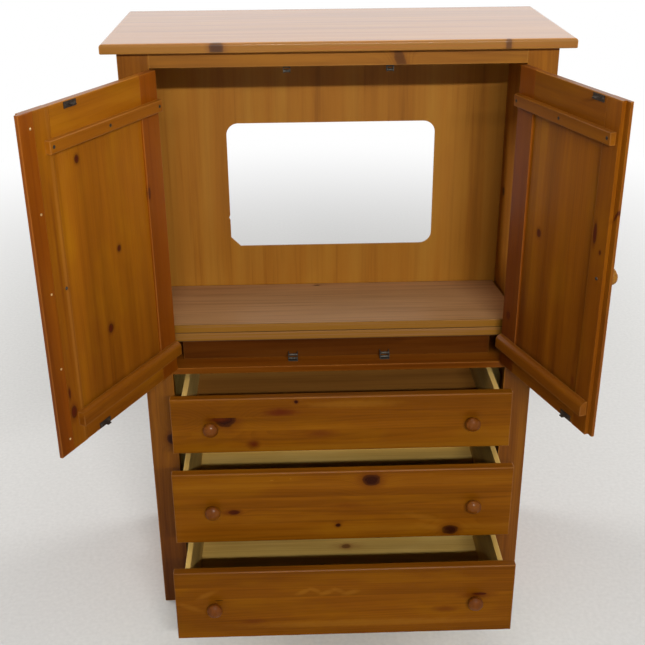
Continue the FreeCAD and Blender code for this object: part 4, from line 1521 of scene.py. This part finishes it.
@dataclass
class Door:
    """One door, whose own axes start on its pin with X towards its free edge.

    Args:
        name: Its name, which is its body's too.
        marks: Its knots, above its lower edge and from its pin.
        tone: How much lighter its boards are, or darker below nought; its rails and cleats add painted shade to
            it.
        darkest: The lowest tone that a rail or cleat takes.
        strike_reach: Distance of a strike's screws from its middle.
        strike_plate: How thick a strike's plate is.
        pin_rise: How far a strip pin's plain shape stands above its domed head's seat.
    """

    name: str
    marks: tuple[Mark, ...] = ()
    tone: float = 0.0
    darkest: float = -0.65
    # darkest: The darkest that a rail or cleat is made, painted shade included.
    strike_reach: float = 0.0135
    strike_plate: float = 0.0015
    pin_rise: float = 0.0005

    @property
    def own(self) -> Placement:
        """Read the door's own axes from its hinge.

        Returns:
            Where they lie at rest.
        """
        joint = next(j for j in frame["joints"] if j["child"] == self.name)
        pin_x = joint["pos_m"][0]
        opened = math.radians(joint["range_deg"][0]) * joint["axis"][2]
        return Placement((pin_x, 0.0, 0.0), (0.0, 0.0, -opened), pin_x > 0)

    def dress(self) -> None:
        """Give the door's boards and fittings their finishes."""
        own = self.own
        sill = own.extent(f"{self.name}_hinge_stile")[0].z
        boards = []
        for part, timber in (
            ("hinge_stile", HINGE_PINE),
            ("meeting_stile", MEETING_PINE),
            ("panel", DOOR_PINE),
        ):
            name = f"{self.name}_{part}"
            low, high = own.extent(name)
            marks = [mark.moved(sill, 0.0) for mark in self.marks if low.x < mark.across < high.x]
            # Painted shade: the stiles and the panel grow darker towards their low ends.
            boards.append(Board(name, Grain.STILE, timber, marks=tuple(marks), tone=self.tone, fade=0.42))
        # Painted shade: the bottom rail under its cleat and both cleats are made darker, the lower ones most.
        for part, timber, tone in (
            ("top_rail", DOOR_PINE, 0.0),
            ("bottom_rail", DOOR_PINE, -0.6),
            ("top_cleat", CLEAT_PINE, -0.15),
            ("bottom_cleat", CLEAT_PINE, -0.5),
        ):
            shade = max(self.tone + tone, self.darkest)
            boards.append(Board(f"{self.name}_{part}", Grain.RAIL, timber, tone=shade))
        boards.append(Board(f"{self.name}_knob", Grain.PEG, TURNED_PAINTED_LIGHT))
        if f"{self.name}_closing_strip" in frame["nodes"]:
            # Painted shade: the closing strip grows darker towards its low end.
            boards.append(Board(f"{self.name}_closing_strip", Grain.STILE, HINGE_PINE, fade=0.4))
        dress(boards, own)
        paint(f"{self.name}_strikes", RUSTED.material())
        paint(f"{self.name}_hinge_leaves", AGED_BRASS.material())

    def screw(self, carcass: Carcass) -> None:
        """Drive the door's screws and pins.

        Args:
            carcass: The carcass, which knows where a hinge's screws lie.
        """
        name, own = self.name, self.own
        crossed = knob_screws(f"{name}_screws", own)
        piece = drive(f"{name}_cross_screws", name, DARK_STEEL, crossed)
        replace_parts(piece, f"{name}_screws")
        drive(f"{name}_hinge_screws", name, AGED_BRASS, hinge_screws(name, own, carcass, -1.0))
        drive(f"{name}_strike_screws", name, DARK_STEEL, self._strike_screws(own))
        pins = f"{name}_strip_pins"
        if pins in frame["nodes"]:
            work = []
            for low, high in own.solids(pins):
                middle = (low + high) / 2
                seat = (middle.x, high.y - self.pin_rise, middle.z)
                work.append((STRIP_PIN, own.aim(seat, (0, 1, 0))))
            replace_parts(drive(f"{name}_round_pins", name, BRASS, work), pins)

    def _strike_screws(self, own: Placement) -> list[Driven]:
        """Place two screws in each strike.

        Args:
            own: The door's own axes.

        Returns:
            Each screw and where it lies.
        """
        work = []
        face = own.extent(f"{self.name}_meeting_stile")[1].y
        for low, high in own.solids(f"{self.name}_strikes"):
            middle = (low + high) / 2
            for reach in (-self.strike_reach, self.strike_reach):
                place = (middle.x + reach, face + self.strike_plate, middle.z)
                work.append((STRIKE_SCREW, own.aim(place, (0, 1, 0), middle.z + reach)))
        return work


# --- studio --------------------------------------------------------------------------
@dataclass(frozen=True)
class Lamp:
    """A soft rectangular lamp.

    Args:
        name: Its name.
        place: Where it hangs.
        size: Its width and height.
        power: Its power in watts.
        target: What it points at.
    """

    name: str
    place: Triple
    size: tuple[float, float]
    power: float
    target: Triple = (0.0, 0.1, 0.8)

    def hang(self) -> None:
        """Hang it in the scene."""
        data = bpy.data.lights.new(self.name, "AREA")
        data.shape = "RECTANGLE"
        data.size, data.size_y = self.size
        data.energy = self.power
        lamp = bpy.data.objects.new(self.name, data)
        heading = (Vector(self.target) - Vector(self.place)).to_track_quat("-Z", "Y")
        lamp.matrix_world = Matrix.Translation(self.place) @ heading.to_matrix().to_4x4()
        bpy.context.scene.collection.objects.link(lamp)


@dataclass
class Studio:
    """The floor, the lights and the camera.

    Args:
        focal_pixels: The lens's focal length in pixels of a square image.
        image_width: That image's width in pixels.
        sensor_width: The sensor's width in millimetres.
        sight: How far the camera sees.
        eye: The camera's place.
        yaw: How far it looks to the right of straight ahead, in radians.
        pitch: How far it looks down.
        roll: How far it leans.
        floor_size: Half the floor's width.
        floor_grit: Cells of the floor's grit to the metre.
        floor_colours: The floor's darker and lighter colour.
        white_from: Where the floor starts to turn white, and where it is white, from the middle.
        surroundings: Colour of the light from all round.
        world_strength: How strongly the surroundings light the armoire.
        lamps: The lamps.
    """

    focal_pixels: float = 1034.16
    image_width: float = 645.0
    sensor_width: float = 36.0
    sight: float = 200.0
    eye: Triple = (-0.0982, -2.1271, 1.7808)
    yaw: float = 0.0281
    pitch: float = 0.4383
    roll: float = -0.0086
    floor_size: float = 30.0
    floor_grit: float = 90.0
    floor_colours: tuple[str, str] = ("C6C5C2", "D9D8D5")
    white_from: tuple[float, float] = (1.6, 4.5)
    surroundings: str = "F6F7FA"
    world_strength: float = 0.075
    lamps: tuple[Lamp, ...] = (
        Lamp("key", (0.34, -3.61, 2.53), (1.5, 0.05), 145.0),
        Lamp("overhead", (0.0, -0.4, 4.2), (3.0, 3.0), 54.0),
        Lamp("left_rear", (-3.9, 2.0, 1.5), (2.0, 1.6), 130.0),
        Lamp("right_rear", (3.9, 2.0, 1.5), (2.0, 1.6), 130.0),
    )

    def camera(self) -> None:
        """Set the camera where it sees the armoire from its own angle."""
        data = bpy.data.cameras.new("camera")
        data.sensor_width = self.sensor_width
        data.lens = self.focal_pixels / self.image_width * self.sensor_width
        data.clip_end = self.sight
        level = Vector((math.sin(self.yaw), math.cos(self.yaw), 0.0))
        ahead = level * math.cos(self.pitch) - Vector((0, 0, math.sin(self.pitch)))
        right = Vector((math.cos(self.yaw), -math.sin(self.yaw), 0.0))
        above = right.cross(ahead)
        leaning_right = right * math.cos(self.roll) + above * math.sin(self.roll)
        leaning_up = above * math.cos(self.roll) - right * math.sin(self.roll)
        axes = Matrix((leaning_right, leaning_up, -ahead)).transposed()
        camera = bpy.data.objects.new("camera", data)
        camera.matrix_world = Matrix.Translation(self.eye) @ axes.to_4x4()
        bpy.context.scene.collection.objects.link(camera)
        bpy.context.scene.camera = camera

    def floor(self) -> None:
        """Lay a plain pale floor that fades to white far from the armoire."""
        mesh = bpy.data.meshes.new("floor")
        shape = bmesh.new()
        bmesh.ops.create_grid(shape, x_segments=1, y_segments=1, size=self.floor_size)
        shape.to_mesh(mesh)
        shape.free()
        floor = bpy.data.objects.new("floor", mesh)
        bpy.context.scene.collection.objects.link(floor)
        graph = Graph(bpy.data.materials.new("pale_floor"))
        place = graph.place()
        grit = graph.noise(place * (self.floor_grit, self.floor_grit, self.floor_grit), 3.0)
        colour = graph.tint(grit, list(enumerate(map(srgb, self.floor_colours))))
        matt = graph.shader("ShaderNodeBsdfPrincipled", {"Base Color": colour, "Roughness": 0.75})
        white = graph.shader("ShaderNodeEmission", {"Color": srgb("FFFFFF"), "Strength": 1.0})
        x, y, _ = place.parts()
        away = (x * x + y * y).root().eased(*self.white_from)
        graph.end(graph.shader("ShaderNodeMixShader", {0: away * graph.seen(), 1: matt, 2: white}))
        mesh.materials.append(graph.owner)

    def world(self) -> None:
        """Light all round, and white wherever it is seen or mirrored."""
        world = bpy.data.worlds.new("studio")
        bpy.context.scene.world = world
        graph = Graph(world)
        lit = {"Color": srgb(self.surroundings), "Strength": self.world_strength}
        white = {"Color": srgb("FFFFFF"), "Strength": 1.0}
        pair = [graph.shader("ShaderNodeBackground", inputs) for inputs in (lit, white)]
        graph.end(graph.shader("ShaderNodeMixShader", {0: graph.seen(), 1: pair[0], 2: pair[1]}))

    def build(self) -> None:
        """Set up the whole studio."""
        self.camera()
        self.floor()
        self.world()
        for lamp in self.lamps:
            lamp.hang()
        bpy.context.scene.view_settings.view_transform = "Standard"
        log.info("built the studio")


# --- where the marks lie -------------------------------------------------------------
UPPER_MARKS = (
    Mark(-0.2635, 0.0910, 0.0235, 0.0200, lean=-0.12, below=0.0925),
    Mark(-0.2760, 0.0880, 0.0260, 0.0070, MarkKind.SMEAR, 0.9, below=0.0925),
    Mark(-0.102, 0.129, 0.0042, 0.0042),
    Mark(-0.138, 0.103, 0.040, 0.013, MarkKind.SMEAR, 1.0, above=0.0925),
    Mark(-0.200, 0.0215, 0.016, 0.013, MarkKind.SMEAR, 1.0),
    Mark(-0.050, 0.047, 0.036, 0.011, MarkKind.SMEAR, 0.6, below=0.0565),
    Mark(0.290, 0.090, 0.024, 0.007, MarkKind.SMEAR, 0.35),
    Mark(0.020, 0.120, 0.120, 0.010, MarkKind.PALE, 0.3),
)
MIDDLE_MARKS = (
    Mark(0.063, 0.161, 0.0180, 0.0135),
    Mark(0.246, 0.020, 0.0170, 0.0115),
    Mark(-0.2475, 0.0825, 0.0120, 0.0055),
    Mark(-0.2600, 0.0825, 0.0320, 0.0090, MarkKind.SMEAR, 0.5),
    Mark(-0.012, 0.040, 0.0055, 0.0045),
    Mark(-0.012, 0.050, 0.0160, 0.0060, MarkKind.SMEAR, 0.4),
    Mark(0.012, 0.095, 0.0400, 0.0080, MarkKind.SMEAR, 0.35),
    Mark(0.185, 0.055, 0.0500, 0.0100, MarkKind.PALE, 0.20, -0.25),
    Mark(0.195, 0.030, 0.0400, 0.0085, MarkKind.PALE, 0.18, -0.30),
    Mark(-0.160, 0.166, 0.0040, 0.0010, MarkKind.PALE, 0.8),
    Mark(-0.118, 0.169, 0.0030, 0.0010, MarkKind.PALE, 0.8),
)
LOWER_MARKS = (
    Mark(0.305, 0.1075, 0.018, 0.0035, MarkKind.CRACK, below=0.1125),
    Mark(0.300, 0.1050, 0.045, 0.011, MarkKind.SMEAR, 0.7, below=0.1125),
    Mark(-0.285, 0.1080, 0.010, 0.0015, MarkKind.CRACK, 0.7),
    Mark(0.2275, 0.0675, 0.030, 0.010, MarkKind.SMEAR, 0.6),
    Mark(-0.210, 0.0450, 0.032, 0.010, MarkKind.SMEAR, 0.5),
    Mark(-0.095, 0.1260, 0.018, 0.0071, MarkKind.PALE, 0.32, 0.35),
    Mark(-0.068, 0.1300, 0.017, 0.0068, MarkKind.PALE, 0.24, -0.40),
    Mark(-0.042, 0.1230, 0.020, 0.0076, MarkKind.PALE, 0.32, 0.30),
    Mark(-0.016, 0.1280, 0.017, 0.0068, MarkKind.PALE, 0.24, -0.35),
    Mark(0.012, 0.1210, 0.021, 0.0076, MarkKind.PALE, 0.28, 0.25),
    Mark(-0.312, 0.1240, 0.026, 0.0080, MarkKind.PALE, 0.26, 0.45),
    Mark(-0.350, 0.0900, 0.028, 0.0085, MarkKind.PALE, 0.22, -0.40),
    Mark(0.050, 0.0330, 0.300, 0.0110, MarkKind.PALE, 0.35),
)
LOWER_BOTTOM_MARKS = (
    Mark(0.018, 0.030, 0.0100, 0.0080),
    Mark(0.022, 0.030, 0.0450, 0.0180, MarkKind.SMEAR, 0.4),
)
LEFT_DOOR_MARKS = (
    Mark(0.5675, 0.270, 0.0070, 0.0055),
    Mark(0.3555, 0.169, 0.0062, 0.0050),
    Mark(0.1990, 0.221, 0.0085, 0.0070),
    Mark(0.4380, 0.056, 0.0110, 0.0036, depth=0.75),
    Mark(0.0790, 0.3675, 0.0120, 0.0075),
    Mark(0.1240, 0.3740, 0.0100, 0.0025),
    # Painted highlight: a pale line along the meeting stile, beside the step to its panel.
    Mark(0.3400, 0.3440, 0.5000, 0.0050, MarkKind.PALE, 0.25),
    Mark(0.4200, 0.3580, 0.1500, 0.0050, MarkKind.SMEAR, 0.35),
    Mark(0.2200, 0.3900, 0.1400, 0.0060, MarkKind.SMEAR, 0.40),
)
RIGHT_DOOR_MARKS = (
    Mark(0.3550, 0.1125, 0.0078, 0.0062),
    Mark(0.4215, 0.3100, 0.0180, 0.0045),
    Mark(0.1290, 0.0250, 0.0080, 0.0065),
    Mark(0.0915, 0.2825, 0.0140, 0.0100, MarkKind.SMEAR, 0.6),
    Mark(0.3905, 0.3315, 0.0040, 0.0028),
    Mark(0.4705, 0.3570, 0.0100, 0.0025, lean=0.5),
)


def main() -> None:
    """Build the studio and the armoire, piece by piece."""
    logging.basicConfig(level=logging.INFO, format="%(message)s")
    Studio().build()
    carcass = Carcass()
    carcass.dress()
    carcass.pin()
    carcass.screw_hinges()
    Platform().dress()
    drawers = (
        Drawer("upper_drawer", (0.0565, 0.0925), UPPER_MARKS, inside=BROWNER_BARE),
        Drawer("middle_drawer", (0.0915, 0.119), MIDDLE_MARKS),
        # Painted shade: the lower front is made darker against the light that the floor throws up onto it.
        Drawer("lower_drawer", (0.1125, 0.145), LOWER_MARKS, LOWER_BOTTOM_MARKS, tone=-0.14),
    )
    for drawer in drawers:
        drawer.dress()
        drawer.screw()
        log.info("finished %s", drawer.name)
    for door in (Door("left_door", LEFT_DOOR_MARKS), Door("right_door", RIGHT_DOOR_MARKS, -0.32)):
        door.dress()
        door.screw(carcass)
        log.info("finished %s", door.name)


if __name__ == "__main__":
    main()
